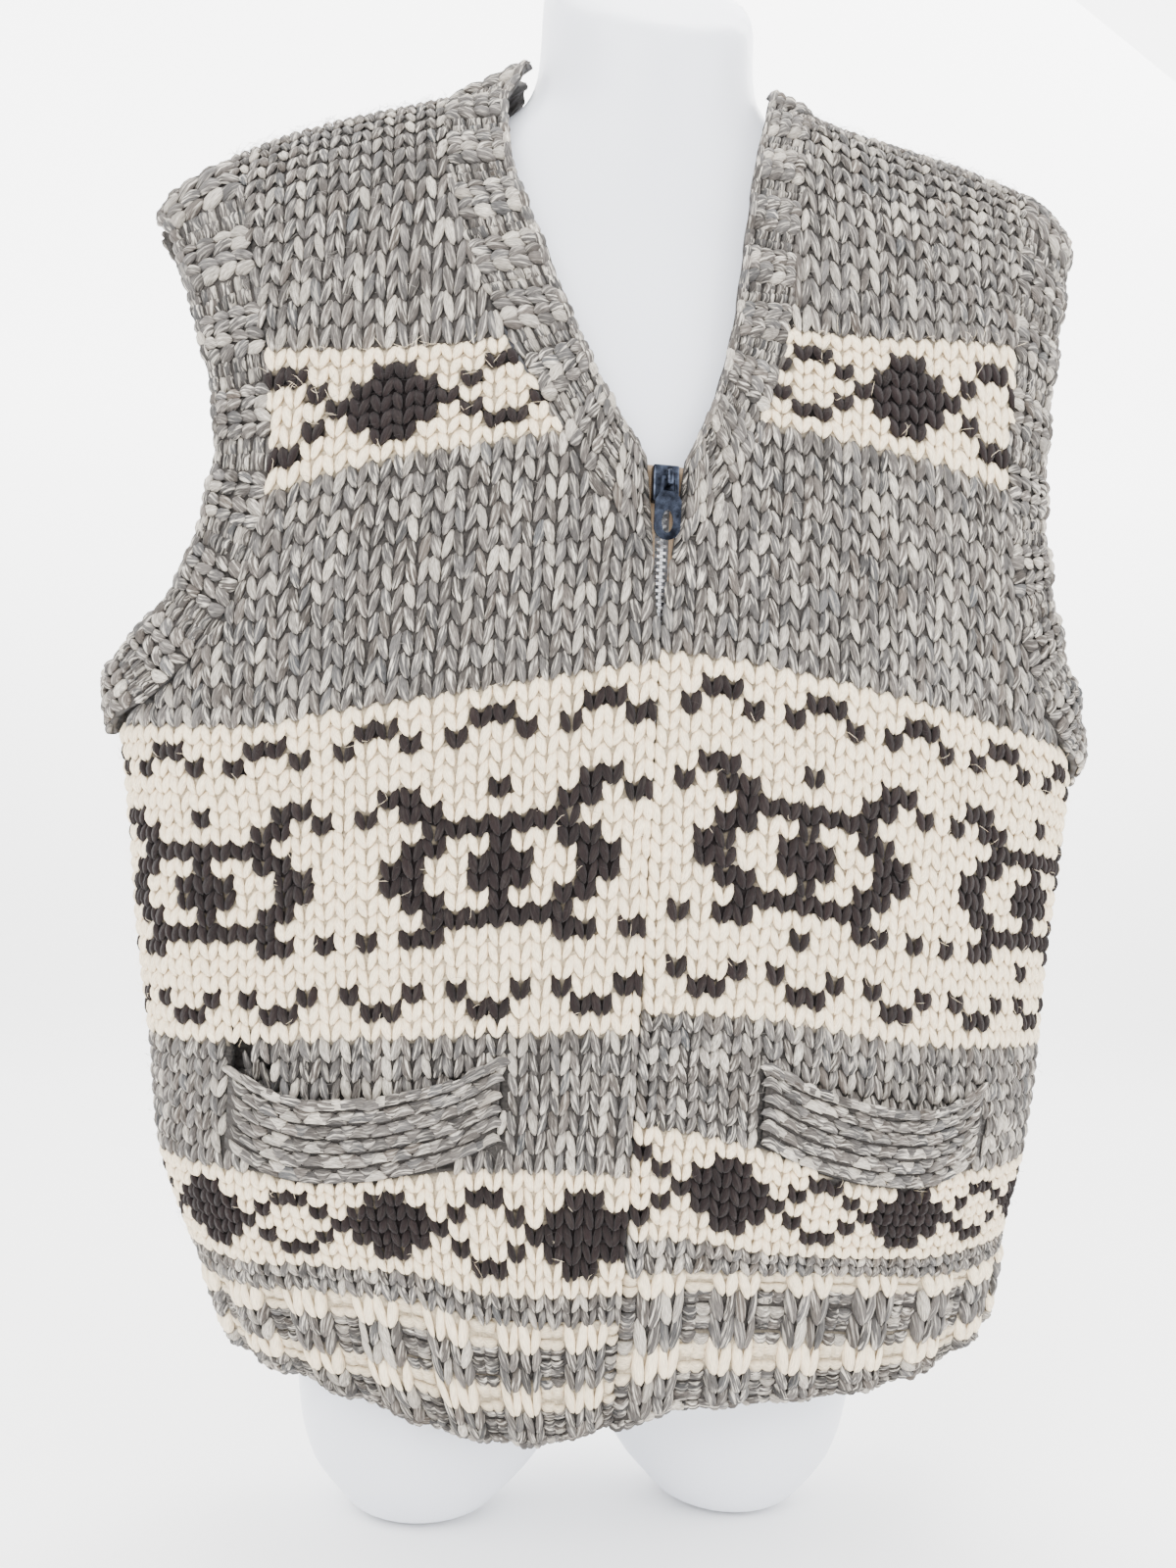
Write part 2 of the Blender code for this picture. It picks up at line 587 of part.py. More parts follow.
def back_mesh(name):
    """The back, one wall from the right side to the left."""
    halves = []
    for side in (-1, 1):
        rows = panel_rows(side, "back")
        rows[0] += ROW_SEAM
        x, z = panel_spots(side, "back", rows, back_shares(side)[0], np.zeros_like(rows))
        halves.append(wall_grids(x, z, side, "back"))
    outer = np.concatenate([halves[0][0][:, ::-1], halves[1][0][:, 1:]], axis=1)
    inner = np.concatenate([halves[0][1][:, ::-1], halves[1][1][:, 1:]], axis=1)
    return wall_mesh(name, outer, inner)


def rib_grids(side, face, first_column):
    """Outer and inner points of a quarter of the ribbed hem, with its ribs in the outer points."""
    wave = np.array([0.0, 1.0, 1.0, 0.0])
    phase = np.array(RIB_RISE)
    ribs = np.arange(RIBS_PER_QUARTER)
    inside = ((ribs[:, None] + phase[None, :]) / RIBS_PER_QUARTER).ravel()
    column = np.concatenate([[0.0], inside, [1.0]])
    relief = np.concatenate([[0.0], np.tile(wave, RIBS_PER_QUARTER), [0.0]])
    column = first_column + (1 - first_column) * column
    rows = np.array(HEM_ROWS)
    height = np.array(HEM_SWELL)
    grid_column = np.repeat(column[None, :], len(rows), axis=0)
    grid_row = np.repeat(rows[:, None], len(column), axis=1)
    x, z = spot(grid_column, grid_row, side, face)
    out = WALL_OUT - RIB_SINK + RIB_RELIEF * height[:, None] * relief[None, :]
    return surface(x, z, side, face, out), surface(x, z, side, face, -WALL_IN)


def hem_front_mesh(name, side):
    """The ribbed hem below one front."""
    width = section(side_name(side), front_row_z(0.0, 0.0, side))
    first = column_at(ZIP_GAP["half"][0] / width)
    return wall_mesh(name, *rib_grids(side, "front", first))


def hem_back_mesh(name):
    """The ribbed hem below the back."""
    right, left = rib_grids(-1, "back", 0.0), rib_grids(1, "back", 0.0)
    outer = np.concatenate([right[0][:, ::-1], left[0][:, 1:]], axis=1)
    inner = np.concatenate([right[1][:, ::-1], left[1][:, 1:]], axis=1)
    return wall_mesh(name, outer, inner)


def band_grids(panel, edge, side, face, steps, lift=0.0):
    """Outer and inner points of a border between a panel's edge and an opening's edge."""
    share = np.linspace(0.0, 1.0, steps + 1)
    span = np.hypot(edge[0] - panel[0], edge[1] - panel[1])
    share = np.maximum(share[None, :], (2 * SEAM / span)[:, None])
    x = panel[0][:, None] + (edge[0] - panel[0])[:, None] * share
    z = panel[1][:, None] + (edge[1] - panel[1])[:, None] * share
    rise = lift * share if np.ndim(lift) else 0.0
    plump = BAND_OUT - WALL_OUT
    crown = WALL_OUT + plump * np.clip(6 * share, 0, 1)
    return (
        surface(x, z, side, face, crown + rise),
        surface(x, z, side, face, -WALL_IN + rise),
    )


def armband_mesh(name, side):
    """The border round an armhole, a closed ring over the shoulder and under the arm."""
    parts = []
    for face in ("front", "back"):
        panel, edge = armhole_line(side, "panel"), armhole_line(side, "edge")
        stations = np.linspace(0.0, 1.0, len(panel[0]))
        lift = UNDERARM_LIFT * np.exp(-((stations / UNDERARM_REACH) ** 2))[:, None]
        parts.append(band_grids(panel, edge, side, face, 3, lift))
    (front_out, front_in), (back_out, back_in) = parts
    ring = []
    for front, back in ((front_out, back_out), (front_in, back_in)):
        middle = [(front[k] + back[k]) / 2 for k in (0, -1)]
        ring.append(np.concatenate([middle[0][None], front[1:-1], middle[1][None],
                                    back[1:-1][::-1]]))
    return wall_mesh(name, ring[0], ring[1], closed=True)


def neckband_front_mesh(name, side):
    """The border down one side of the V, from the shoulder to the zip."""
    rows = panel_rows(side, "front")
    rows = rows[rows >= neck_foot_row(side)]
    panel = neck_line(rows, side, "panel")
    edge = neck_line(rows, side, "edge")
    return wall_mesh(name, *band_grids(panel, edge, side, "front", 3))


def neckband_back_mesh(name):
    """The border round the back of the neck, between the shoulder seams."""
    grids = []
    for side in (-1, 1):
        name = side_name(side)
        share, corner = back_shares(side)
        top_row = np.full(len(share), float(RIDGE_ROW))
        shoulder = column_at(ARMHOLE[name + "_panel_x"][-1] / section(name, COLUMN_HEIGHT))
        panel_x, panel_z = spot(share * shoulder, top_row, side, "back")
        inside = share <= corner + 1e-9
        panel_x, panel_z = panel_x[inside], panel_z[inside]
        turn = panel_x / panel_x[-1]
        edge_z = BACK_NECK_EDGE_Z + (NECK[name + "_edge_z"][-1] - BACK_NECK_EDGE_Z) * turn**2
        edge_x = NECK[name + "_edge_x"][-1] * np.sin(turn * math.pi / 2) ** 1.1
        grids.append(band_grids((panel_x, panel_z), (edge_x, edge_z), side, "back", 3))
    outer = np.concatenate([grids[0][0][::-1], grids[1][0][1:]])
    inner = np.concatenate([grids[0][1][::-1], grids[1][1][1:]])
    return wall_mesh(name, outer, inner)


def mouth_z(x):
    """Height of the pocket mouth's lower lip."""
    return smooth(MOUTH["x"], MOUTH["z"], x)


def welt_mesh(name, side):
    """The bumpy border below a pocket mouth, its top leaning out."""
    x = np.array(MOUTH["x"])
    x[0] += SEAM
    x[-1] -= SEAM
    share = np.linspace(0.0, 1.0, 5)
    z = mouth_z(x)[None, :] - WELT_HEIGHT * (1 - share[:, None])
    x = np.repeat(x[None, :], len(share), axis=0)
    across = (x - MOUTH["x"][0]) / (MOUTH["x"][-1] - MOUTH["x"][0])
    lean = WELT_PROUD + WELT_LEAN * share[:, None] ** 2 * np.sin(math.pi * across)
    return wall_mesh(
        name,
        surface(x, z, side, "front", WALL_OUT + lean),
        surface(x, z, side, "front", -WALL_IN + lean),
    )


def mouth_cutter_mesh(name, side):
    """A block through the front where its welt and the pocket's mouth are."""
    x = np.array(MOUTH["x"])
    low = mouth_z(x) - WELT_HEIGHT - SEAM
    high = mouth_z(x) + MOUTH_GAP
    z = np.stack([low, high])
    x = np.repeat(x[None, :], 2, axis=0)
    reach = 0.012
    return wall_mesh(
        name, surface(x, z, side, "front", reach), surface(x, z, side, "front", -reach)
    )


def lining_mesh(name, side):
    """The pouch behind a pocket mouth: a dish that bellies in from its rim on the front."""
    across = np.linspace(0.0, 1.0, 9)
    up = np.linspace(0.0, 1.0, 9)
    inner_x, outer_x = MOUTH["x"][0] - LINING_RIM, MOUTH["x"][-1] + LINING_RIM
    x = np.repeat((inner_x + (outer_x - inner_x) * across)[None, :], len(up), axis=0)
    top = mouth_z(x) + MOUTH_GAP + LINING_RIM
    z = LINING_BOTTOM + (top - LINING_BOTTOM) * up[:, None]
    rim = np.minimum(np.minimum(across, 1 - across)[None, :], np.minimum(up, 1 - up)[:, None])
    belly = np.clip(rim / LINING_RIM_SHARE, 0.0, 1.0)
    clear = LINING_CLEAR + LINING_CURVE_CLEAR * (x / outer_x) ** 4
    depth = WALL_IN + clear + LINING_DEPTH * belly
    return wall_mesh(
        name,
        surface(x, z, side, "front", -depth),
        surface(x, z, side, "front", -depth - LINING_WALL),
    )


def zip_rows(side, top):
    """Rows of a zip strip, those of the front beside it, so that both follow one line."""
    rows = np.concatenate([HEM_ROWS[2:], panel_rows(side, "front")])
    low = row_at(np.array([0.0]), np.array([ZIP_BOTTOM]), side, "front")[0]
    high = row_at(np.array([0.0]), np.array([top]), side, "front")[0]
    inside = rows[(rows > low + 0.1) & (rows < high - 0.1)]
    return np.concatenate([[low], inside, [high]])


def strip_mesh(name, side, span, depth, top):
    """A flat strip of the zip, between two distances and two depths behind the cloth."""
    z = front_row_z(zip_rows(side, top), 0.0, side)
    x = np.repeat(np.array(span)[None, :], len(z), axis=0)
    z = np.repeat(z[:, None], 2, axis=1)
    return wall_mesh(
        name, surface(x, z, side, "front", -depth[0]), surface(x, z, side, "front", -depth[1])
    )


def zip_line():
    """The cloth's middle at the slider, and the angle at which it leans back there."""
    z = np.array([SLIDER_BOTTOM, PIVOT_Z, SLIDER_TOP])
    y = surface(np.zeros(3), z, 1, "front", np.zeros(3))[:, 1]
    return float(y[1]), math.atan2(y[2] - y[0], z[2] - z[0])


def zip_pivot():
    """The pull's hinge line, out from the cloth's middle along its normal."""
    y, lean = zip_line()
    return 0.0, y - PIVOT_OUT * math.cos(lean), PIVOT_Z + PIVOT_OUT * math.sin(lean)


def box_object(name, low, high, home, bevel=0.0):
    """A box between two corners, with rounded edges if asked for."""
    bpy.ops.mesh.primitive_cube_add(size=1.0)
    made = bpy.context.active_object
    made.name = name
    for owner in list(made.users_collection):
        owner.objects.unlink(made)
    home.objects.link(made)
    low, high = np.array(low), np.array(high)
    for vertex in made.data.vertices:
        vertex.co = [float(v) for v in (low + high) / 2 + np.array(vertex.co) * (high - low)]
    if bevel:
        rounding = made.modifiers.new("rounding", "BEVEL")
        rounding.width = bevel
        rounding.segments = 2
    return made


def boolean(target, other, operation):
    """An exact Boolean modifier."""
    cut = target.modifiers.new(operation.lower(), "BOOLEAN")
    cut.operation = operation
    cut.solver = "EXACT"
    cut.object = other


def settle(made):
    """Apply an object's modifiers to its mesh."""
    graph = bpy.context.evaluated_depsgraph_get()
    graph.update()
    mesh = bpy.data.meshes.new_from_object(made.evaluated_get(graph))
    made.modifiers.clear()
    made.data = mesh
    return made


def hide_cutter(made):
    """Mark an object as a cutter."""
    made.hide_render = True
    made.display_type = "WIRE"


def slider_mesh(cutters):
    """The slider: a front and a back plate, the wedge between them and the lug with its eye."""
    y, lean = zip_line()
    plate_front = y - SLIDER_FRONT
    plate_back = y + SLIDER_CHANNEL
    rear_front = y + WALL_IN + 2 * ZIP_CLEAR + TEETH_THICK
    body = box_object(
        "slider_body",
        (-SLIDER_HALF, plate_front, SLIDER_BOTTOM),
        (SLIDER_HALF, plate_back, SLIDER_TOP), cutters, 0.0009)
    rear = box_object(
        "slider_rear",
        (-SLIDER_HALF, rear_front, SLIDER_BOTTOM),
        (SLIDER_HALF, rear_front + SLIDER_REAR, SLIDER_TOP), cutters, 0.0005)
    wedge = box_object(
        "slider_wedge",
        (-WEDGE_HALF, plate_back - SLIDER_JOIN, TEETH_TOP + SLIDER_JOIN),
        (WEDGE_HALF, rear_front + SLIDER_JOIN, SLIDER_TOP - SLIDER_JOIN), cutters)
    lug = box_object(
        "slider_lug",
        (-LUG_HALF, y - LUG_REACH, PIVOT_Z - LUG_HALF_HEIGHT),
        (LUG_HALF, plate_front + SLIDER_JOIN, PIVOT_Z + LUG_HALF_HEIGHT), cutters, 0.0010)
    bpy.ops.mesh.primitive_cylinder_add(
        vertices=20, radius=EYE_RADIUS, depth=0.012, location=(0, y - PIVOT_OUT, PIVOT_Z),
        rotation=(0, math.pi / 2, 0))
    eye = bpy.context.active_object
    eye.name = "slider_eye"
    for other in (rear, wedge, lug):
        boolean(body, other, "UNION")
    boolean(body, eye, "DIFFERENCE")
    settle(body)
    mesh = body.data
    middle = Vector((0.0, y, PIVOT_Z))
    turn = Matrix.Translation(middle) @ Matrix.Rotation(-lean, 4, "X")
    mesh.transform(turn @ Matrix.Translation(-middle))
    for used in (body, rear, wedge, lug, eye):
        bpy.data.objects.remove(used)
    return mesh


def pull_curve(name):
    """The pull tab's outline with its slot and its oval hole, about the bar it turns on."""
    curve = bpy.data.curves.new(name, "CURVE")
    curve.dimensions = "2D"
    curve.fill_mode = "BOTH"
    curve.extrude = PULL_THICK / 2
    bar = 0.0007
    slot_low = -0.0060
    turn = np.linspace(0.0, math.pi, 13)
    end_centre = -PULL_LENGTH + PULL_HALF
    end = [(PULL_HALF * math.cos(a), end_centre - PULL_HALF * math.sin(a)) for a in turn]
    outline = [(-PULL_NECK_HALF, slot_low - 0.0010), (-PULL_NECK_HALF + 0.0008, bar),
               (PULL_NECK_HALF - 0.0008, bar), (PULL_NECK_HALF, slot_low - 0.0010),
               (PULL_HALF, slot_low - 0.0040)]
    outline += end
    outline.append((-PULL_HALF, slot_low - 0.0040))
    slot = [(-0.0024, -bar), (-0.0026, slot_low), (0.0026, slot_low), (0.0024, -bar)]
    around = np.linspace(0.0, 2 * math.pi, 21)[:-1]
    hole = [(0.0026 * math.cos(a), end_centre + 0.0022 + 0.0050 * math.sin(a)) for a in around]
    for points in (outline, slot, hole):
        spline = curve.splines.new("POLY")
        spline.points.add(len(points) - 1)
        spline.points.foreach_set("co", [v for x, z in points for v in (x, z, 0.0, 1.0)])
        spline.use_cyclic_u = True
    return curve


def pull_mesh(home):
    """The pull tab as a mesh about its own hinge line, hanging down -Z."""
    curve = pull_curve("zip_pull_outline")
    made = bpy.data.objects.new("zip_pull_outline", curve)
    home.objects.link(made)
    graph = bpy.context.evaluated_depsgraph_get()
    mesh = bpy.data.meshes.new_from_object(made.evaluated_get(graph))
    bpy.data.objects.remove(made)
    work = bmesh.new()
    work.from_mesh(mesh)
    bmesh.ops.remove_doubles(work, verts=work.verts, dist=1e-6)
    for vertex in work.verts:
        vertex.co = (vertex.co.x, -vertex.co.z, vertex.co.y)
    bmesh.ops.recalc_face_normals(work, faces=work.faces)
    work.to_mesh(mesh)
    work.free()
    return mesh


def form_radius(direction_x, direction_y, z):
    """Distance of the form's skin from its axis: torso and neck, joined in one smooth skin."""
    half = smooth(FORM["z"], FORM["half"], z)
    front = smooth(FORM["z"], FORM["front"], z)
    back = smooth(FORM["z"], FORM["back"], z)
    depth = np.where(direction_y < 0, front, back)
    torso = ((np.abs(direction_x) / half) ** SQUARENESS
             + (np.abs(direction_y) / depth) ** SQUARENESS) ** (-1 / SQUARENESS)
    lean = direction_y * NECK_CENTRE_Y
    neck = lean + np.sqrt(NECK_RADIUS**2 - NECK_CENTRE_Y**2 + lean**2)
    rise = (z - NECK_FADE[0]) / (NECK_FADE[1] - NECK_FADE[0])
    neck = neck * np.clip(rise, NECK_LEAST, 1.0)
    return (torso**NECK_BLEND + neck**NECK_BLEND) ** (1 / NECK_BLEND)


def form_ring(front_z, back_z):
    """One ring of the form, level or rising from its front to its back."""
    angle = np.arange(FORM_AROUND) / FORM_AROUND * 2 * math.pi
    dx, dy = np.sin(angle), -np.cos(angle)
    z = np.full(FORM_AROUND, front_z)
    for _ in range(6):
        radius = form_radius(dx, dy, z)
        y = radius * dy
        rise = (y + NECK_RADIUS) / (2 * NECK_RADIUS)
        z = front_z + (back_z - front_z) * np.clip(rise, 0.0, 1.1)
    return droop(np.stack([radius * dx, radius * dy, z], axis=-1))


def form_mesh(cutters):
    """The torso form: a skin of rings, with the two thigh stubs joined on."""
    rings = [form_ring(z, z) for z in FORM_LEVELS]
    for step in np.linspace(0.0, 1.0, NECK_STEPS + 1)[1:]:
        front = FORM_LEVELS[-1] + (NECK_FRONT_TOP - FORM_LEVELS[-1]) * step
        back = FORM_LEVELS[-1] + (NECK_BACK_TOP - FORM_LEVELS[-1]) * step
        rings.append(form_ring(front, back))
    body = bpy.data.objects.new("form_torso", stack_mesh("form_torso", rings))
    cutters.objects.link(body)
    stubs = []
    for side in (-1, 1):
        angle = np.arange(STUB_AROUND) / STUB_AROUND * 2 * math.pi
        levels = []
        for z, inner, outer, depth in zip(*STUB.values()):
            middle, half = side * (inner + outer) / 2, (outer - inner) / 2
            x = middle + half * np.cos(angle)
            y = depth * np.sin(angle)
            levels.append(np.stack([x, y, np.full_like(x, z)], axis=-1))
        stub = bpy.data.objects.new("form_stub", stack_mesh("form_stub", levels))
        cutters.objects.link(stub)
        boolean(body, stub, "UNION")
        stubs.append(stub)
    settle(body)
    mesh = body.data
    for used in [body, *stubs]:
        bpy.data.objects.remove(used)
    return mesh


def build():
    """Make every piece."""
    for old in list(bpy.data.objects):
        bpy.data.objects.remove(old)
    home = bpy.data.collections.new(COLLECTION)
    cutters = bpy.data.collections.new(COLLECTION + "_cutters")
    bpy.context.scene.collection.children.link(home)
    bpy.context.scene.collection.children.link(cutters)
    origin = bpy.data.objects.new(COLLECTION + "_origin", None)
    home.objects.link(origin)
    origin.location = ORIGIN_SHIFT

    def piece(name, mesh, finish):
        return add_object(name, mesh, finish, home, origin)

    piece("form_body", form_mesh(cutters), FORM_WHITE)
    piece("back", back_mesh("back"), WOOL_CREAM)
    piece("hem_rib_back", hem_back_mesh("hem_rib_back"), WOOL_GREY)
    piece("neckband_back", neckband_back_mesh("neckband_back"), WOOL_GREY)
    for side, word in ((-1, "right"), (1, "left")):
        front = piece(f"front_{word}", front_mesh(f"front_{word}", side), WOOL_CREAM)
        cutter = bpy.data.objects.new(
            f"mouth_cutter_{word}", mouth_cutter_mesh(f"mouth_cutter_{word}", side))
        cutters.objects.link(cutter)
        cutter.parent = origin
        hide_cutter(cutter)
        boolean(front, cutter, "DIFFERENCE")
        piece(f"hem_rib_front_{word}", hem_front_mesh(f"hem_rib_front_{word}", side), WOOL_GREY)
        piece(f"armband_{word}", armband_mesh(f"armband_{word}", side), WOOL_GREY)
        piece(f"neckband_{word}", neckband_front_mesh(f"neckband_{word}", side), WOOL_GREY)
        piece(f"pocket_welt_{word}", welt_mesh(f"pocket_welt_{word}", side), WOOL_GREY)
        piece(f"pocket_lining_{word}", lining_mesh(f"pocket_lining_{word}", side), WOOL_GREY)
        tape_front, teeth_front = WALL_IN + TAPE_CLEAR, WALL_IN + ZIP_CLEAR
        piece(f"zip_tape_{word}",
              strip_mesh(f"zip_tape_{word}", side, (TAPE_INNER_X, TAPE_OUTER_X),
                         (tape_front, tape_front + TAPE_THICK), TAPE_TOP), TAPE_TAN)
        piece(f"zip_teeth_{word}",
              strip_mesh(f"zip_teeth_{word}", side, (TEETH_INNER_X, TEETH_OUTER_X),
                         (teeth_front, teeth_front + TEETH_THICK), TEETH_TOP), METAL_TEETH)
    piece("zip_slider", slider_mesh(cutters), METAL_DARK)
    pull = piece("zip_pull", pull_mesh(cutters), METAL_DARK)
    pull.location = zip_pivot()


build()
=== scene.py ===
"""The looks of a cowichan vest on a torso form: its yarn, zip, form, floor and light.

Metres, +Z up. The front faces -Y and the wearer's right is at -X. Every strand of yarn is laid on
the vest's own surface, which is named by stitches across and knitted rows up.
"""
import logging
import math
from dataclasses import dataclass, field
from enum import Enum

import bmesh
import bpy
import numpy as np
from mathutils import Matrix, Vector


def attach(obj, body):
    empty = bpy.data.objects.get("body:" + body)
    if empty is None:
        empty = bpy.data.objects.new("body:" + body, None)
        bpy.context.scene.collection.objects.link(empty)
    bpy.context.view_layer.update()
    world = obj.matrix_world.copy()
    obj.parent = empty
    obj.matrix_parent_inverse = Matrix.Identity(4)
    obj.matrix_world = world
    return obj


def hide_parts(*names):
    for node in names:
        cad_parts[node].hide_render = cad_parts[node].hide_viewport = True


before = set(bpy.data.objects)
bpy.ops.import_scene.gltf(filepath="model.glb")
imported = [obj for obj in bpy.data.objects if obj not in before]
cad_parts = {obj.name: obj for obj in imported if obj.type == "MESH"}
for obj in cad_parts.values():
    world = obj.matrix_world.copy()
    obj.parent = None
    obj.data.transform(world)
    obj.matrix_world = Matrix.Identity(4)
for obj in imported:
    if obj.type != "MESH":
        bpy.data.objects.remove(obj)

LOG = logging.getLogger("cowichan_vest")
Socket = bpy.types.NodeSocket
Source = Socket | tuple
Reach = np.ndarray | float
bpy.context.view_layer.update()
BODY = "vest"
VEST_MIDDLE = (0.0, 0.0, 0.38)
STITCH_WIDTH = 0.0098
ROW_HEIGHT = 0.0091
PITCH = (STITCH_WIDTH, ROW_HEIGHT)
RIB_PITCH = (STITCH_WIDTH, 0.0085)
METRES = (1.0, 1.0)
RINGS = 4
SIDES = 5

# Places and sizes of the vest's surface, in its own frame before the shift
ORIGIN_SHIFT = np.array([0.0, 0.0056, 0.0100])
SQUARENESS = 2.3
SEAM = 0.0004
COLUMN_HEIGHT = 0.48
ROW_STEPS = 48
STITCHES = 28
RIB_ROWS = 6
BEND_ROW = 59
RIDGE_ROW = 75
RIDGE_Z = (0.6265, 0.722)
WALL = 0.0025
SECTIONS = {
    "z": (0.040, 0.056, 0.085, 0.110, 0.140, 0.175, 0.220, 0.270, 0.320, 0.385, 0.430, 0.480,
          0.530, 0.580, 0.610, 0.628, 0.645, 0.660, 0.672, 0.682, 0.692, 0.702, 0.713, 0.722),
    "right": (0.140, 0.151, 0.174, 0.185, 0.199, 0.211, 0.217, 0.225, 0.231, 0.239, 0.240, 0.237,
              0.2355, 0.2345, 0.234, 0.232, 0.214, 0.190, 0.165, 0.138, 0.110, 0.085, 0.061, 0.045),
    "left": (0.202, 0.205, 0.209, 0.213, 0.217, 0.2245, 0.229, 0.231, 0.2355, 0.239, 0.238, 0.236,
             0.235, 0.2345, 0.234, 0.233, 0.230, 0.2195, 0.182, 0.122, 0.090, 0.070, 0.052, 0.040),
    "front": (0.082, 0.083, 0.085, 0.088, 0.091, 0.094, 0.096, 0.097, 0.098, 0.098, 0.096, 0.092,
              0.086, 0.077, 0.069, 0.0635, 0.057, 0.0515, 0.046, 0.041, 0.035, 0.028, 0.019, 0.014),
    "back": (0.073, 0.074, 0.076, 0.079, 0.082, 0.085, 0.087, 0.088, 0.088, 0.088, 0.088, 0.088,
             0.087, 0.085, 0.083, 0.081, 0.079, 0.0765, 0.074, 0.0715, 0.069, 0.066, 0.061, 0.058),
}
ROWS = {
    "row": (0, 2, 3, 5, 6, 8, 15, 22, 41, 52, 59),
    "x": (0.0, 0.03, 0.06, 0.10, 0.14, 0.18, 0.24),
    "right": (
        (0.0640, 0.0545, 0.0560, 0.0662, 0.0765, 0.0800, 0.0810),
        (0.0745, 0.0690, 0.0700, 0.0800, 0.0840, 0.0870, 0.0880),
        (0.0850, 0.0810, 0.0822, 0.0905, 0.0935, 0.0950, 0.0960),
        (0.1020, 0.0985, 0.0995, 0.1085, 0.1095, 0.1065, 0.1070),
        (0.1125, 0.1100, 0.1120, 0.1205, 0.1210, 0.1175, 0.1180),
        (0.1250, 0.1230, 0.1240, 0.1325, 0.1325, 0.1290, 0.1290),
        (0.1790, 0.1800, 0.1800, 0.1750, 0.1710, 0.1715, 0.1700),
        (0.2430, 0.2425, 0.2400, 0.2375, 0.2340, 0.2290, 0.2240),
        (0.4085, 0.4017, 0.3950, 0.3862, 0.3780, 0.3690, 0.3680),
        (0.5120, 0.5100, 0.5065, 0.4985, 0.4865, 0.4720, 0.4600),
        (0.5620, 0.5600, 0.5575, 0.5530, 0.5480, 0.5470, 0.5460),
    ),
    "left": (
        (0.0600, 0.0690, 0.0703, 0.0710, 0.0735, 0.0823, 0.0930),
        (0.0820, 0.0875, 0.0865, 0.0835, 0.0820, 0.0870, 0.0980),
        (0.0970, 0.1015, 0.1005, 0.0970, 0.0935, 0.0965, 0.1060),
        (0.1240, 0.1265, 0.1250, 0.1225, 0.1190, 0.1162, 0.1210),
        (0.1345, 0.1345, 0.1330, 0.1305, 0.1270, 0.1245, 0.1285),
        (0.1510, 0.1490, 0.1430, 0.1385, 0.1355, 0.1345, 0.1370),
        (0.2020, 0.1975, 0.1900, 0.1800, 0.1740, 0.1740, 0.1760),
        (0.2520, 0.2520, 0.2500, 0.2440, 0.2380, 0.2350, 0.2310),
        (0.4130, 0.4110, 0.4080, 0.4020, 0.3960, 0.3890, 0.3780),
        (0.5230, 0.5220, 0.5190, 0.5150, 0.5110, 0.5040, 0.5000),
        (0.5660, 0.5660, 0.5660, 0.5680, 0.5730, 0.5775, 0.5800),
    ),
}
ARMHOLE = {
    "right_panel_x": (0.260, 0.236, 0.220, 0.207, 0.195, 0.185, 0.1785, 0.1755, 0.174, 0.1745,
                      0.1768, 0.1798, 0.1828, 0.1865, 0.191, 0.1955, 0.199, 0.202),
    "right_panel_z": (0.364, 0.370, 0.381, 0.394, 0.410, 0.430, 0.451, 0.470, 0.490, 0.510,
                      0.530, 0.551, 0.572, 0.592, 0.612, 0.632, 0.645, 0.6545),
    "right_edge_x": (0.260, 0.2385, 0.2325, 0.2235, 0.2145, 0.2075, 0.203, 0.200, 0.1985, 0.199,
                     0.201, 0.2055, 0.2105, 0.216, 0.222, 0.228, 0.231, 0.2335),
    "right_edge_z": (0.385, 0.390, 0.403, 0.414, 0.428, 0.444, 0.4605, 0.475, 0.490, 0.506,
                     0.522, 0.542, 0.562, 0.581, 0.600, 0.614, 0.621, 0.6265),
    "left_panel_x": (0.260, 0.236, 0.220, 0.207, 0.196, 0.187, 0.181, 0.1775, 0.176, 0.1755,
                     0.176, 0.1775, 0.1795, 0.1815, 0.184, 0.188, 0.192, 0.196),
    "left_panel_z": (0.364, 0.370, 0.381, 0.394, 0.410, 0.430, 0.451, 0.470, 0.490, 0.510,
                     0.530, 0.551, 0.572, 0.592, 0.614, 0.638, 0.655, 0.6675),
    "left_edge_x": (0.260, 0.240, 0.2345, 0.2255, 0.217, 0.210, 0.2055, 0.202, 0.200, 0.1995,
                    0.200, 0.2015, 0.2045, 0.2085, 0.2125, 0.217, 0.2205, 0.2235),
    "left_edge_z": (0.385, 0.390, 0.403, 0.414, 0.428, 0.444, 0.4605, 0.475, 0.490, 0.506,
                    0.522, 0.542, 0.562, 0.581, 0.600, 0.618, 0.634, 0.6545),
}
NECK = {
    "right_panel_x": (0.0045, 0.042, 0.0755, 0.0895, 0.101, 0.1025, 0.098),
    "right_panel_z": (0.455, 0.500, 0.565, 0.600, 0.650, 0.680, 0.698),
    "right_edge_x": (0.0090, 0.028, 0.0455, 0.0575, 0.0725, 0.0745, 0.060),
    "right_edge_z": (0.498, 0.528, 0.565, 0.600, 0.650, 0.680, 0.713),
    "left_panel_x": (0.0045, 0.037, 0.057, 0.061, 0.068, 0.074, 0.082),
    "left_panel_z": (0.455, 0.500, 0.565, 0.600, 0.650, 0.676, 0.692),
    "left_edge_x": (0.0090, 0.0215, 0.0305, 0.0355, 0.0437, 0.051, 0.060),
    "left_edge_z": (0.498, 0.528, 0.565, 0.600, 0.650, 0.677, 0.7045),
}
BACK_NECK_PANEL_Z = 0.668
BACK_NECK_EDGE_Z = 0.698
DROOP = 0.0145
DROOP_X = (0.030, 0.100)
DROOP_Z = (0.450, 0.620)
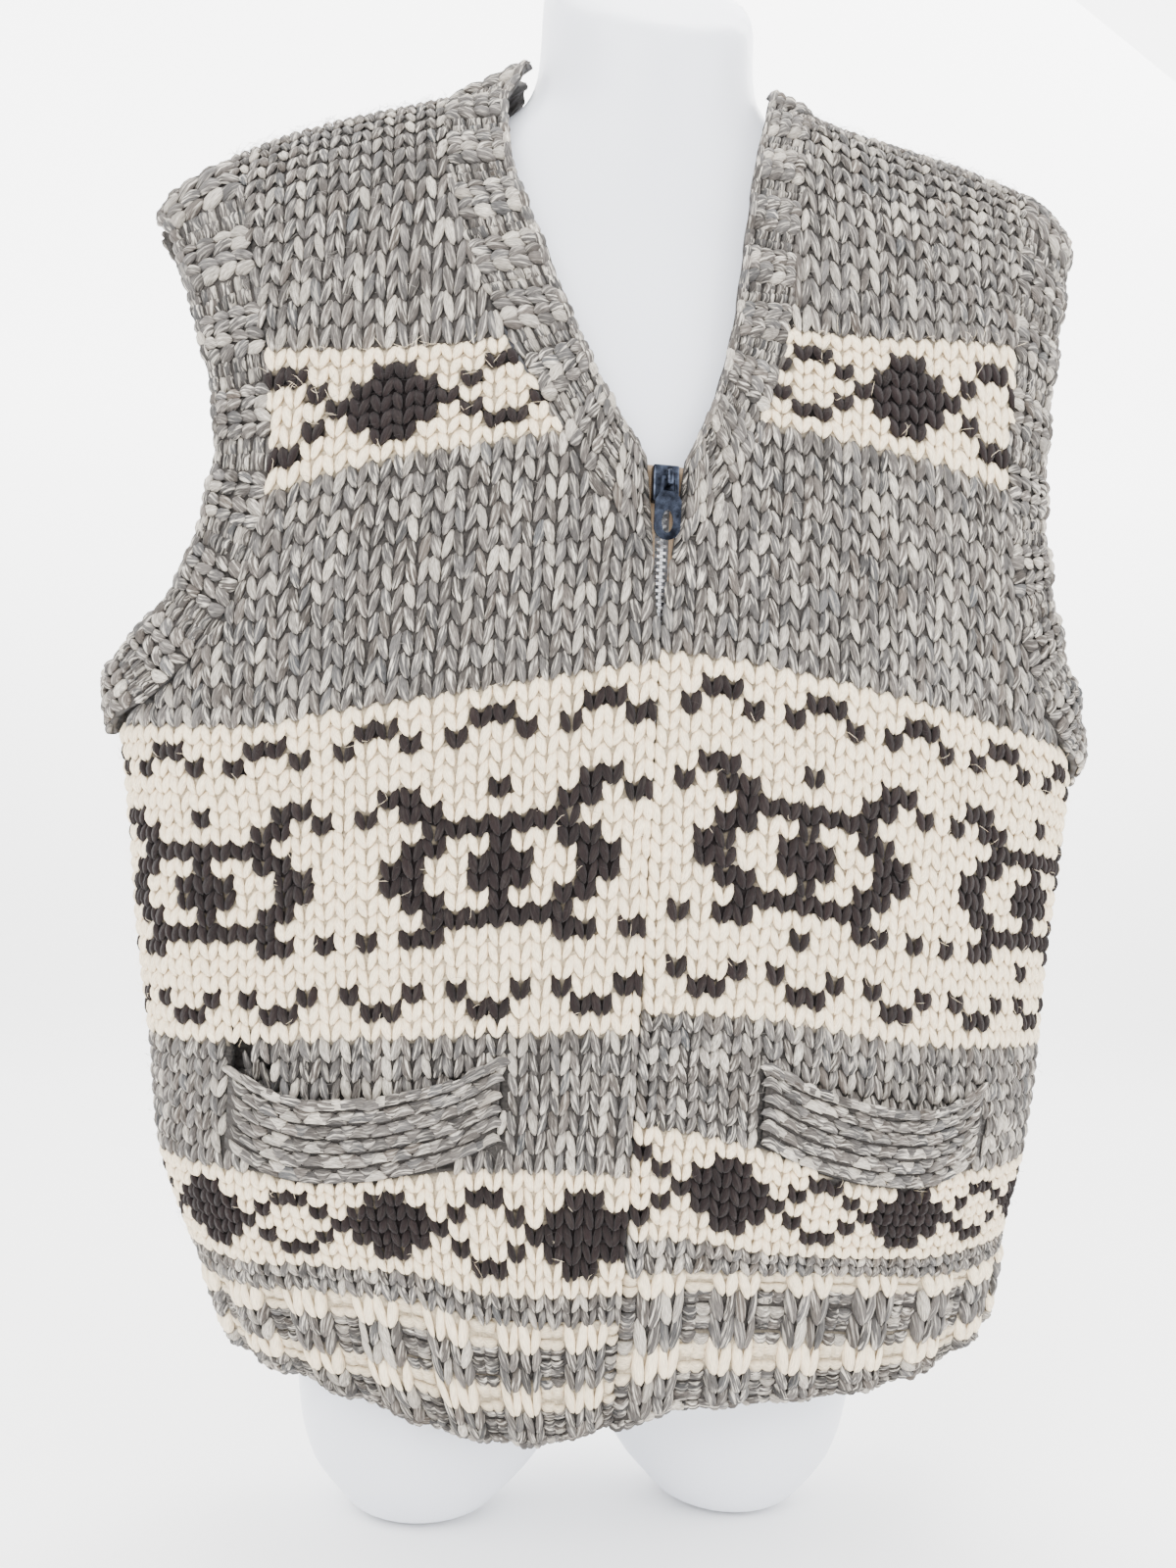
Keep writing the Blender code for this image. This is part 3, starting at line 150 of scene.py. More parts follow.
DROOP_NECK_Z = (0.715, 0.760)
UNDERARM_LIFT = 0.0070
UNDERARM_REACH = 0.16
ZIP_GAP = {
    "z": (0.050, 0.420, 0.440, 0.455, 0.478, 0.498),
    "half": (0.0006, 0.0006, 0.0030, 0.0045, 0.0074, 0.0082),
}
FOLDS = {
    "face": ("front", "front", "front", "front", "back", "back", "back", "back", "back"),
    "x": (-0.170, 0.178, -0.155, 0.150, -0.120, 0.125, 0.020, -0.150, 0.155),
    "z": (0.300, 0.310, 0.140, 0.150, 0.300, 0.290, 0.180, 0.450, 0.460),
    "across": (0.018, 0.018, 0.016, 0.018, 0.020, 0.020, 0.026, 0.018, 0.018),
    "up": (0.070, 0.075, 0.045, 0.045, 0.080, 0.085, 0.060, 0.060, 0.060),
    "slant": (0.25, -0.25, 0.10, -0.10, 0.20, -0.22, 0.05, 0.35, -0.35),
    "depth": (-0.004, -0.004, 0.003, 0.003, -0.005, -0.005, 0.004, -0.004, -0.004),
}
MOUTH = {
    "x": (0.060, 0.080, 0.100, 0.120, 0.140, 0.160, 0.178),
    "z": (0.2280, 0.2180, 0.2115, 0.2070, 0.2055, 0.2085, 0.2165),
}
MOUTH_START, MOUTH_END = MOUTH["x"][0], MOUTH["x"][-1]
WELT_HEIGHT = 0.036
# MOUTH_SHADE, BORDER_SHADE, GROUND_SHADE and RIB_SHADE darken the yarn's colour as painted shade:
# the shadow in a pocket's mouth, under the borders' strands, under the panels' stitches and under
# the hem rib's strands.
MOUTH_SHADE = 0.5
BORDER_SHADE = 0.7
GROUND_SHADE = 0.62
BORDER_OUT = 0.0002
RIB_SHADE = 0.6
ZIP_SWELL = 0.0020
ZIP_SWELL_ROWS = (20.0, 34.0)


class Side(Enum):
    """The wearer's side, with the sign of X there."""

    RIGHT = -1
    LEFT = 1

    @property
    def word(self) -> str:
        """The side's name in the tables and in the pieces' names."""
        return self.name.lower()


class Face(Enum):
    """Which half of the vest a piece is on."""

    FRONT = "front"
    BACK = "back"


class Yarn(Enum):
    """The three yarns, with their colour as sRGB steps and how much light strand they hold."""

    GREY = ((84, 80, 77), 1.0)
    CREAM = ((243, 225, 194), 0.0)
    BROWN = ((24, 15, 15), 0.02)

    @property
    def colour(self) -> np.ndarray:
        """The yarn's colour as linear light."""
        return linear(self.value[0])

    @property
    def marl(self) -> float:
        """How much of the light strand shows, from 0 to 1."""
        return self.value[1]


def linear(steps: tuple[int, int, int]) -> np.ndarray:
    """Turn sRGB steps into linear light: the standard curve, by its two pieces."""
    share = np.asarray(steps, float) / 255
    return np.where(share <= 0.04045, share / 12.92, ((share + 0.055) / 1.055) ** 2.4)


def smooth(table_z: tuple, table_value: tuple, z: np.ndarray) -> np.ndarray:
    """Read a table along a smooth curve.

    A cubic runs between neighbouring points, with each slope the harmonic mean of the two steps
    beside it, or none where the steps turn.

    Args:
        table_z: Rising places of the table's points.
        table_value: Value at each place.
        z: Places to read, held within the table.

    Returns:
        The values at those places.
    """
    zs = np.asarray(table_z, float)
    values = np.asarray(table_value, float)
    steps = np.diff(values) / np.diff(zs)
    slopes = np.empty_like(values)
    slopes[0], slopes[-1] = steps[0], steps[-1]
    inner = steps[:-1] * steps[1:]
    slopes[1:-1] = np.where(inner > 0, 2 * inner / (steps[:-1] + steps[1:] + 1e-12), 0.0)
    z = np.clip(z, zs[0], zs[-1])
    cell = np.clip(np.searchsorted(zs, z, side="right") - 1, 0, len(zs) - 2)
    width = zs[cell + 1] - zs[cell]
    t = (z - zs[cell]) / width
    return (
        (2 * t**3 - 3 * t**2 + 1) * values[cell]
        + (t**3 - 2 * t**2 + t) * width * slopes[cell]
        + (3 * t**2 - 2 * t**3) * values[cell + 1]
        + (t**3 - t**2) * width * slopes[cell + 1]
    )


def ease(value: np.ndarray, span: tuple[float, float]) -> np.ndarray:
    """A smooth rise from 0 to 1 across a span: three squares less two cubes."""
    t = np.clip((value - span[0]) / (span[1] - span[0]), 0.0, 1.0)
    return t * t * (3 - 2 * t)


def droop(x: np.ndarray, z: np.ndarray) -> np.ndarray:
    """How far the wearer's right shoulder hangs down: smooth rises in x and z, multiplied."""
    return DROOP * (ease(-x, DROOP_X) * ease(z, DROOP_Z) * (1 - ease(z, DROOP_NECK_Z)))


def lip_height(x: np.ndarray) -> np.ndarray:
    """Height of a pocket mouth's lip at a distance from the zip."""
    return smooth(MOUTH["x"], MOUTH["z"], x)


def dense_rows(word: str) -> np.ndarray:
    """A side's table of row heights, read along smooth curves at many even distances."""
    x = np.linspace(ROWS["x"][0], ROWS["x"][-1], ROW_STEPS + 1)
    return np.array([smooth(ROWS["x"], heights, x) for heights in ROWS[word]])


ROW_TABLES = {side: dense_rows(side.word) for side in Side}


@dataclass(frozen=True)
class VestSurface:
    """The middle of the vest's cloth: superellipse sections stacked up to the shoulder seam."""

    side: Side
    face: Face

    def width(self, z: np.ndarray) -> np.ndarray:
        """Half width of the section on this side at a height."""
        return smooth(SECTIONS["z"], SECTIONS[self.side.word], z)

    def depth(self, z: np.ndarray) -> np.ndarray:
        """Depth of the section on this face at a height."""
        return smooth(SECTIONS["z"], SECTIONS[self.face.value], z)

    @staticmethod
    def column_table() -> tuple[np.ndarray, np.ndarray]:
        """Columns spaced evenly along a quarter section, and their shares of its width."""
        angle = np.linspace(0.0, math.pi / 2, 600)
        across = np.sin(angle) ** (2 / SQUARENESS)
        deep = np.cos(angle) ** (2 / SQUARENESS)
        width = smooth(SECTIONS["z"], SECTIONS["left"], COLUMN_HEIGHT)
        depth = smooth(SECTIONS["z"], SECTIONS["front"], COLUMN_HEIGHT)
        run = np.hypot(np.diff(across) * width, np.diff(deep) * depth)
        length = np.concatenate([[0.0], np.cumsum(run)])
        return length / length[-1], across

    def ridge_height(self, x: np.ndarray) -> np.ndarray:
        """Height of the shoulder seam at a distance from the middle."""
        z = np.linspace(*RIDGE_Z, 300)
        return np.interp(-np.abs(x), -self.width(z), z)

    def top_height(self, x: np.ndarray) -> np.ndarray:
        """Height of the panel's top: the seam, and on the back the neck's curve between."""
        ridge = self.ridge_height(x)
        if self.face is Face.FRONT:
            return ridge
        reach = NECK[self.side.word + "_panel_x"][-1]
        rise = (self.ridge_height(reach) - BACK_NECK_PANEL_Z) * (np.abs(x) / reach) ** 2
        return np.where(np.abs(x) < reach, BACK_NECK_PANEL_Z + rise, ridge)

    @staticmethod
    def front_height(side: Side, row: np.ndarray, x: np.ndarray) -> np.ndarray:
        """Height of a row below the bend on a front, read from the side's table by two steps."""
        table = ROW_TABLES[side]
        row, x = np.broadcast_arrays(np.asarray(row, float), np.abs(np.asarray(x, float)))
        place = np.clip(x / ROWS["x"][-1], 0.0, 1.0) * ROW_STEPS
        line = np.interp(row, ROWS["row"], np.arange(len(ROWS["row"])))
        column = np.minimum(place.astype(int), ROW_STEPS - 1)
        level = np.minimum(line.astype(int), len(ROWS["row"]) - 2)
        s, t = place - column, line - level
        low = table[level, column] * (1 - s) + table[level, column + 1] * s
        high = table[level + 1, column] * (1 - s) + table[level + 1, column + 1] * s
        return low * (1 - t) + high * t

    def back_height(self, row: np.ndarray, x: np.ndarray) -> np.ndarray:
        """Height of a row on the back: from the two sides' mean to the front's at the side seam."""
        right, left = (self.front_height(side, row, 0.0) for side in Side)
        middle = (right + left) / 2
        seam_z = middle
        for _ in range(4):
            seam_x = self.width(np.minimum(seam_z, COLUMN_HEIGHT))
            seam_z = self.front_height(self.side, row, seam_x)
        return middle + (seam_z - middle) * np.minimum(np.abs(x) / seam_x, 1.0) ** 2

    def row_height(self, row: np.ndarray, x: np.ndarray) -> np.ndarray:
        """Height of a knitted row, which above the bend turns towards the shoulder seam."""
        low = np.clip(row, 0.0, BEND_ROW)
        if self.face is Face.FRONT:
            z = self.front_height(self.side, low, x)
        else:
            z = self.back_height(low, x)
        z = z + np.minimum(row, 0.0) * 0.006
        turn = np.clip((row - BEND_ROW) / (RIDGE_ROW - BEND_ROW), 0.0, 1.0)
        return z + (self.top_height(x) - z) * np.sin(turn * math.pi / 2)

    def row_at(self, x: np.ndarray, z: np.ndarray) -> np.ndarray:
        """Knitted row that passes through each point, read back from the rows' heights."""
        rows = np.linspace(0, RIDGE_ROW, 400)
        found = [np.interp(one_z, self.row_height(rows, np.full_like(rows, one_x)), rows)
                 for one_x, one_z in zip(np.atleast_1d(x), np.atleast_1d(z))]
        return np.array(found)

    def place(self, stitch: np.ndarray, row: np.ndarray) -> tuple[np.ndarray, np.ndarray]:
        """Distance from the middle and height of a stitch and row, by four rounds of settling."""
        share, across = self.column_table()
        part = np.interp(np.abs(stitch) / STITCHES, share, across)
        z = self.front_height(self.side, row, 0.0)
        for _ in range(4):
            x = self.width(np.minimum(z, COLUMN_HEIGHT)) * part
            z = self.row_height(row, x)
        return x * np.sign(stitch + 1e-12), z

    def stitch_at(self, x: np.ndarray, z: np.ndarray) -> np.ndarray:
        """Stitch number at a distance from the middle and a height."""
        share, across = self.column_table()
        return np.interp(x / self.width(np.minimum(z, COLUMN_HEIGHT)), across, share) * STITCHES

    def fold(self, x: np.ndarray, z: np.ndarray) -> np.ndarray:
        """How far the soft folds push the cloth out: a sum of slanted bell curves."""
        push = np.zeros_like(x)
        for face, fx, fz, across, up, slant, depth in zip(*FOLDS.values()):
            if face == self.face.value:
                du = (x - fx - slant * (z - fz)) / across
                dv = (z - fz) / up
                push = push + depth * np.exp(-du * du - dv * dv)
        return push

    def point(self, x: np.ndarray, z: np.ndarray, out: Reach) -> np.ndarray:
        """Points at a distance and height, moved out along the cloth's normal.

        Args:
            x: Distance from the middle line. A negative one lies past it, on the other side.
            z: Height in the vest's own frame.
            out: How far in front of the cloth's middle.

        Returns:
            World points, one row of three for each.
        """
        past = np.sign(x + 1e-12)
        x = np.abs(np.asarray(x, float))
        z = np.asarray(z, float)
        a, b = self.width(z), self.depth(z)
        share = np.clip(x / a, 0.0, 1.0)
        deep = (1 - share**SQUARENESS) ** (1 / SQUARENESS)
        step = 0.001
        slope_a = (self.width(z + step) - self.width(z - step)) / (2 * step)
        slope_b = (self.depth(z + step) - self.depth(z - step)) / (2 * step)
        nx = share ** (SQUARENESS - 1) / a
        ny = deep ** (SQUARENESS - 1) / b
        nz = -(share**SQUARENESS) * slope_a / a - deep**SQUARENESS * slope_b / b
        size = np.sqrt(nx * nx + ny * ny + nz * nz)
        out = out + self.fold(x * self.side.value, z)
        facing = -1.0 if self.face is Face.FRONT else 1.0
        px = self.side.value * past * (x + out * nx / size)
        py = facing * (b * deep + out * ny / size + SEAM / 2)
        pz = z + out * nz / size
        return np.stack([px, py, pz - droop(px, pz)], axis=-1) + ORIGIN_SHIFT


@dataclass(frozen=True)
class Patch:
    """A stretch of cloth that yarn is laid on, by a place across and a place up."""

    def at(self, u: np.ndarray, v: np.ndarray, out: Reach) -> np.ndarray:
        """World points of places on the patch, moved out from it."""
        raise NotImplementedError


@dataclass(frozen=True)
class PanelPatch(Patch):
    """A panel, by stitches from the middle and rows from the hem."""

    surface: VestSurface
    relief: bool = False

    def at(self, u: np.ndarray, v: np.ndarray, out: Reach) -> np.ndarray:
        """World points by stitch and row, swollen at the ribs and at a front's first stitch."""
        x, z = self.surface.place(u, v)
        if self.relief:
            out = out + rib_swell(u, v)
        if self.surface.face is Face.FRONT:
            swell = ZIP_SWELL * np.sin(math.pi * np.clip(u, 0.0, 1.0))
            out = out + swell * (1 - ease(v, ZIP_SWELL_ROWS))
        return self.surface.point(x, z, out)

    def edges(self, rows: np.ndarray) -> tuple[np.ndarray, np.ndarray]:
        """First and last stitch of the panel on each row.

        The first is the zip's or the neck's edge, read from the neck's line above its foot. The
        last is the side, and above the underarm the armhole's line.

        Args:
            rows: Knitted rows.

        Returns:
            Two arrays of stitch numbers.
        """
        surface = self.surface
        line_x, line_z = armhole_line(surface, "panel")
        edge_row = surface.row_at(line_x, line_z)
        edge_row[-1] = RIDGE_ROW
        line_stitch = surface.stitch_at(line_x, line_z)
        last = np.where(rows <= edge_row[0], STITCHES, np.interp(rows, edge_row, line_stitch))
        if surface.face is Face.BACK:
            return np.zeros_like(rows), last
        z = surface.front_height(surface.side, rows, 0.0)
        gap = surface.stitch_at(np.interp(z, ZIP_GAP["z"], ZIP_GAP["half"]), z)
        neck_x = np.array(NECK[surface.side.word + "_panel_x"])
        neck_z = np.array(NECK[surface.side.word + "_panel_z"])
        neck_row = surface.row_at(neck_x, neck_z)
        neck_row[-1] = RIDGE_ROW
        share = np.linspace(0.0, 1.0, len(neck_x))
        t = np.interp(rows, neck_row, share)
        neck = surface.stitch_at(smooth(share, neck_x, t), smooth(share, neck_z, t))
        return np.where(rows < neck_row[0], gap, neck), last


def rib_swell(u: np.ndarray, v: np.ndarray) -> np.ndarray:
    """How far a two-by-two rib stands out: a rounded wave of four stitches, easing in at rows."""
    wave = 0.5 - 0.5 * np.cos(u * math.pi / 2)
    return 0.0034 * ease(wave, (0.15, 0.85)) * (1 - 0.6 * ease(v, (5.2, 6.6))) - 0.0012


def armhole_line(surface: VestSurface, line: str) -> tuple[np.ndarray, np.ndarray]:
    """Distances and heights along the armhole's panel edge or opening edge."""
    z = np.array(ARMHOLE[f"{surface.side.word}_{line}_z"])
    return np.minimum(np.array(ARMHOLE[f"{surface.side.word}_{line}_x"]), surface.width(z)), z


@dataclass(frozen=True)
class BandPatch(Patch):
    """A border in a two-by-two rib, by stitches along it and rows out from the panel's edge."""

    surface: VestSurface
    panel: tuple
    edge: tuple
    period: float
    lift: float = 0.0
    rows: int = 4

    def run(self) -> np.ndarray:
        """Length along the border's middle at each of its stations."""
        x = (self.panel[0] + self.edge[0]) / 2
        z = (self.panel[1] + self.edge[1]) / 2
        points = self.surface.point(x, z, 0.0)
        return np.concatenate([[0.0], np.cumsum(np.linalg.norm(np.diff(points, axis=0), axis=1))])

    def stitches(self) -> int:
        """Whole stitches along the border, four to a rib."""
        return 4 * max(1, round(self.run()[-1] / self.period))

    def at(self, u: np.ndarray, v: np.ndarray, out: Reach) -> np.ndarray:
        """World points by stitch and row, swelling out over the ribs and crowned at its middle."""
        run = self.run()
        stations = np.arange(len(run), dtype=float)
        t = np.interp(u / self.stitches() * run[-1], run, stations)
        share = v / self.rows
        px, pz = smooth(stations, self.panel[0], t), smooth(stations, self.panel[1], t)
        ex, ez = smooth(stations, self.edge[0], t), smooth(stations, self.edge[1], t)
        x, z = px + (ex - px) * share, pz + (ez - pz) * share
        x = np.minimum(x, self.surface.width(z))
        rise = self.lift * np.exp(-((t / (len(run) - 1) / UNDERARM_REACH) ** 2))
        swell = 0.0022 * ease(0.5 - 0.5 * np.cos(u * math.pi / 2), (0.15, 0.85)) - 0.0010
        crown = (0.0016 + swell) * np.clip(5 * share, 0, 1)
        return self.surface.point(x, z, out + crown + rise)


@dataclass(frozen=True)
class BridgePatch(Patch):
    """The stretch of a border over the shoulder, between the ends of its front and its back."""

    front: np.ndarray
    back: np.ndarray
    count: int
    rows: int = 4

    def at(self, u: np.ndarray, v: np.ndarray, out: Reach) -> np.ndarray:
        """World points by stitch from front to back and row across, straight between the ends."""
        across = np.linspace(0.0, self.rows, len(self.front))
        ends = [np.stack([np.interp(v, across, end[:, axis]) for axis in range(3)], axis=-1)
                for end in (self.front, self.back)]
        share = (np.asarray(u) / self.count)[..., None]
        side = self.front[-1] - self.front[0] + self.back[-1] - self.back[0]
        up = np.cross(self.back.mean(axis=0) - self.front.mean(axis=0), side)
        up = up / np.linalg.norm(up) * np.sign(up[2])
        return ends[0] + (ends[1] - ends[0]) * share + up * np.asarray(out)[..., None]


@dataclass(frozen=True)
class MouthPatch(Patch):
    """Cloth at a pocket's mouth, by distance from the zip and height from the mouth's lip."""

    surface: VestSurface
    lean: float = 0.0
    sink: float = 0.0

    def at(self, u: np.ndarray, v: np.ndarray, out: Reach) -> np.ndarray:
        """World points: the lip's height plus v, leaning out towards the lip or sinking below it."""
        z = lip_height(u) + v
        across = np.clip((u - MOUTH_START) / (MOUTH_END - MOUTH_START), 0.0, 1.0)
        up = np.clip(1 + v / WELT_HEIGHT, 0.0, 1.2)
        push = 0.0012 * (self.lean > 0) + self.lean * up**2 * np.sin(math.pi * across)
        drop = self.sink * ease(-v, (-0.016, 0.0))
        return self.surface.point(u, z, out + push - drop)


@dataclass
class Strands:
    """Plump strands of yarn on a patch, kept as arrays, a row for each strand."""

    foot: np.ndarray
    head: np.ndarray
    half_width: np.ndarray
    half_depth: np.ndarray
    lift: np.ndarray
    bow: np.ndarray
    colour: np.ndarray
    marl: np.ndarray

    @staticmethod
    def join(groups: list["Strands"]) -> "Strands":
        """All the strands of several groups as one group."""
        names = Strands.__dataclass_fields__
        return Strands(*(np.concatenate([getattr(one, name) for one in groups]) for name in names))

    def keep(self, mask: np.ndarray) -> "Strands":
        """Only the strands that the mask holds."""
        return Strands(*(getattr(self, name)[mask] for name in Strands.__dataclass_fields__))


@dataclass
class MeshParts:
    """Vertices, faces and what each vertex carries, before they become a mesh."""

    points: np.ndarray
    faces: np.ndarray
    colour: np.ndarray
    marl: np.ndarray
    fibre: np.ndarray

    @staticmethod
    def join(parts: list["MeshParts"]) -> "MeshParts":
        """Several parts as one, with their faces counted on."""
        starts = np.cumsum([0] + [len(part.points) for part in parts[:-1]])
        faces = np.concatenate([np.where(part.faces < 0, -1, part.faces + start)
                                for part, start in zip(parts, starts)])
        names = ("points", "colour", "marl", "fibre")
        points, colour, marl, fibre = (
            np.concatenate([getattr(part, name) for part in parts]) for name in names)
        return MeshParts(points, faces, colour, marl, fibre)


def lay_strands(patch: Patch, strands: Strands, pitch: tuple[float, float],
                rng: np.random.Generator, rings: int = RINGS, sides: int = SIDES) -> MeshParts:
    """Lay strands on a patch as closed tapered tubes.

    A strand's middle runs from foot to head with a sideways bow of a parabola. Round it stand
    rings whose half width swells as the root of a sine, and each end closes in one point.

    Args:
        patch: The cloth under the strands.
        strands: Places, sizes and colours of the strands.
        pitch: Metres for one step of the patch across and up.
        rng: Source of the strands' different grain.
        rings: Rings along a strand.
        sides: Points round a ring.

    Returns:
        The strands' vertices and faces.
    """
    count = len(strands.foot)
    t = (np.arange(rings) + 0.5) / rings
    swell = np.sin(math.pi * t) ** 0.55
    scale = np.array(pitch)
    along = (strands.head - strands.foot) * scale
    length = np.linalg.norm(along, axis=1, keepdims=True)
    normal = np.stack([along[:, 1], -along[:, 0]], axis=1) / length
    turn = 2 * math.pi * (np.arange(sides) + 0.5) / sides
    arch = 4 * t * (1 - t)
    middle = (strands.foot * scale)[:, None, :] + along[:, None, :] * t[None, :, None]
    middle = middle + normal[:, None, :] * (strands.bow[:, None] * arch)[:, :, None]
    side_step = strands.half_width[:, None, None] * swell[None, :, None] * np.cos(turn)
    lift = strands.lift[:, 0:1] + (strands.lift[:, 1:2] - strands.lift[:, 0:1]) * t
    lift = lift + strands.lift[:, 2:3] * arch
    up_step = strands.half_depth[:, None, None] * swell[None, :, None] * np.sin(turn)
    ring_uv = middle[:, :, None, :] + side_step[..., None] * normal[:, None, None, :]
    ring_out = lift[:, :, None] + up_step
    ends_uv = np.stack([strands.foot * scale, strands.foot * scale + along], axis=1)
    uv = np.concatenate([ring_uv.reshape(count, -1, 2), ends_uv], axis=1)
    out = np.concatenate([ring_out.reshape(count, -1), strands.lift[:, 0:2]], axis=1)
    points = patch.at(*(uv.reshape(-1, 2) / scale).T, out.ravel())
    each = rings * sides + 2
    fibre_u = np.concatenate([side_step.reshape(count, -1), np.zeros((count, 2))], axis=1)
    fibre_v = np.concatenate([np.repeat(t, sides), [0.0, 1.0]])[None, :] * length
    grain = rng.uniform(0.0, 1.0, (count, 2))
    fibre = np.stack([fibre_u + grain[:, :1], fibre_v + grain[:, 1:]], axis=-1)
    faces = tube_faces(rings, sides)
    starts = np.arange(count)[:, None, None] * each
    faces = np.where(faces[None] < 0, -1, faces[None] + starts).reshape(-1, 4)
    return MeshParts(points, faces, np.repeat(strands.colour, each, axis=0),
                     np.repeat(strands.marl, each), fibre.reshape(-1, 2))


def ring_quads(rings: int, sides: int) -> np.ndarray:
    """Quads between closed rings of points, each ring joined to the next."""
    k = np.arange(sides)
    n = (k + 1) % sides
    rows = np.arange(rings - 1)[:, None] * sides
    quads = np.stack([rows + k, rows + n, rows + n + sides, rows + k + sides], axis=-1)
    return quads.reshape(-1, 4)


def tube_faces(rings: int, sides: int) -> np.ndarray:
    """Faces of one closed tube: quads between rings and triangles to its two end points."""
    k = np.arange(sides)
    n = (k + 1) % sides
    last = (rings - 1) * sides
    foot, head = rings * sides, rings * sides + 1
    none = np.full(sides, -1)
    low = np.stack([n, k, np.full(sides, foot), none], axis=-1)
    high = np.stack([last + k, last + n, np.full(sides, head), none], axis=-1)
    return np.concatenate([ring_quads(rings, sides), low, high])


def new_object(name: str, data: bpy.types.ID) -> bpy.types.Object:
    """An object of some data, linked to the scene."""
    made = bpy.data.objects.new(name, data)
    bpy.context.scene.collection.objects.link(made)
    return made


def build_mesh(name: str, parts: MeshParts) -> bpy.types.Object:
    """Make an object of vertices and faces, shaded smooth, with its colour, marl and fibre map.

    Args:
        name: The object's name.
        parts: Vertices, faces of three or four corners, and what each vertex carries.

    Returns:
        The new object, linked to the scene.
    """
    mesh = bpy.data.meshes.new(name)
    used = parts.faces >= 0
    corners = used.sum(axis=1)
    loops = parts.faces[used]
    mesh.vertices.add(len(parts.points))
    mesh.vertices.foreach_set("co", parts.points.astype(np.float32).ravel())
    mesh.loops.add(len(loops))
    mesh.loops.foreach_set("vertex_index", loops.astype(np.int32))
    mesh.polygons.add(len(parts.faces))
    starts = np.concatenate([[0], np.cumsum(corners)[:-1]])
    mesh.polygons.foreach_set("loop_start", starts.astype(np.int32))
    mesh.update(calc_edges=True)
    colour = np.concatenate([parts.colour, np.ones((len(parts.colour), 1))], axis=1)
    mesh.attributes.new("yarn", "FLOAT_COLOR", "POINT")
    mesh.attributes["yarn"].data.foreach_set("color", colour.astype(np.float32).ravel())
    mesh.attributes.new("marl", "FLOAT", "POINT")
    mesh.attributes["marl"].data.foreach_set("value", parts.marl.astype(np.float32))
    layer = mesh.uv_layers.new(name="fibre")
    layer.data.foreach_set("uv", parts.fibre[loops].astype(np.float32).ravel())
    mesh.validate()
    mesh.shade_smooth()
    return new_object(name, mesh)


def wall_parts(outer: np.ndarray, inner: np.ndarray, colour: np.ndarray, marl: np.ndarray,
               fibre: np.ndarray, loop: bool = False) -> MeshParts:
    """A closed thin wall between two grids of points.

    Quads cover the outer grid and, turned round, the inner one, and join them along the rims.

    Args:
        outer: Points of the outer face, rows by columns.
        inner: Points of the inner face, the same count.
        colour: Linear colour at each point of the grid.
        marl: Share of light strand at each point.
        fibre: Place on the fibre map at each point, in metres.
        loop: Whether the last row joins the first.

    Returns:
        The wall's vertices and faces.
    """
    rows, cols = outer.shape[:2]
    count = rows * cols
    index = np.arange(count).reshape(rows, cols)
    below = np.concatenate([index, index[:1]]) if loop else index
    a, b = below[:-1, :-1], below[:-1, 1:]
    c, d = below[1:, 1:], below[1:, :-1]
    skin = np.stack([a, b, c, d], axis=-1).reshape(-1, 4)
    faces = [skin, skin[:, ::-1] + count]
    for j, flip in ((0, True), (cols - 1, False)):
        low, high = below[:-1, j], below[1:, j]
        rim = np.stack([low, high, high + count, low + count], axis=-1)
        faces.append(rim[:, ::-1] if not flip else rim)
    if not loop:
        for i, flip in ((0, False), (rows - 1, True)):
            left, right = index[i, :-1], index[i, 1:]
            rim = np.stack([left, right, right + count, left + count], axis=-1)
            faces.append(rim[:, ::-1] if not flip else rim)
    points = np.concatenate([outer.reshape(-1, 3), inner.reshape(-1, 3)])
    return MeshParts(points, np.concatenate(faces), np.tile(colour.reshape(-1, 3), (2, 1)),
                     np.tile(marl.ravel(), 2), np.tile(fibre.reshape(-1, 2), (2, 1)))


def grey_wall(outer: np.ndarray, inner: np.ndarray, fibre: np.ndarray, shade: float,
              loop: bool = False) -> MeshParts:
    """A closed thin wall of grey wool, whose colour is the yarn's times a factor of painted shade.
    """
    colour = np.broadcast_to(GREY_DYE * shade, outer.shape)
    return wall_parts(outer, inner, colour, np.ones(outer.shape[:2]), fibre, loop)


def face_out(made: bpy.types.Object) -> bpy.types.Object:
    """Turn a closed mesh's faces outwards."""
    work = bmesh.new()
    work.from_mesh(made.data)
    bmesh.ops.recalc_face_normals(work, faces=work.faces)
    work.to_mesh(made.data)
    work.free()
    return made


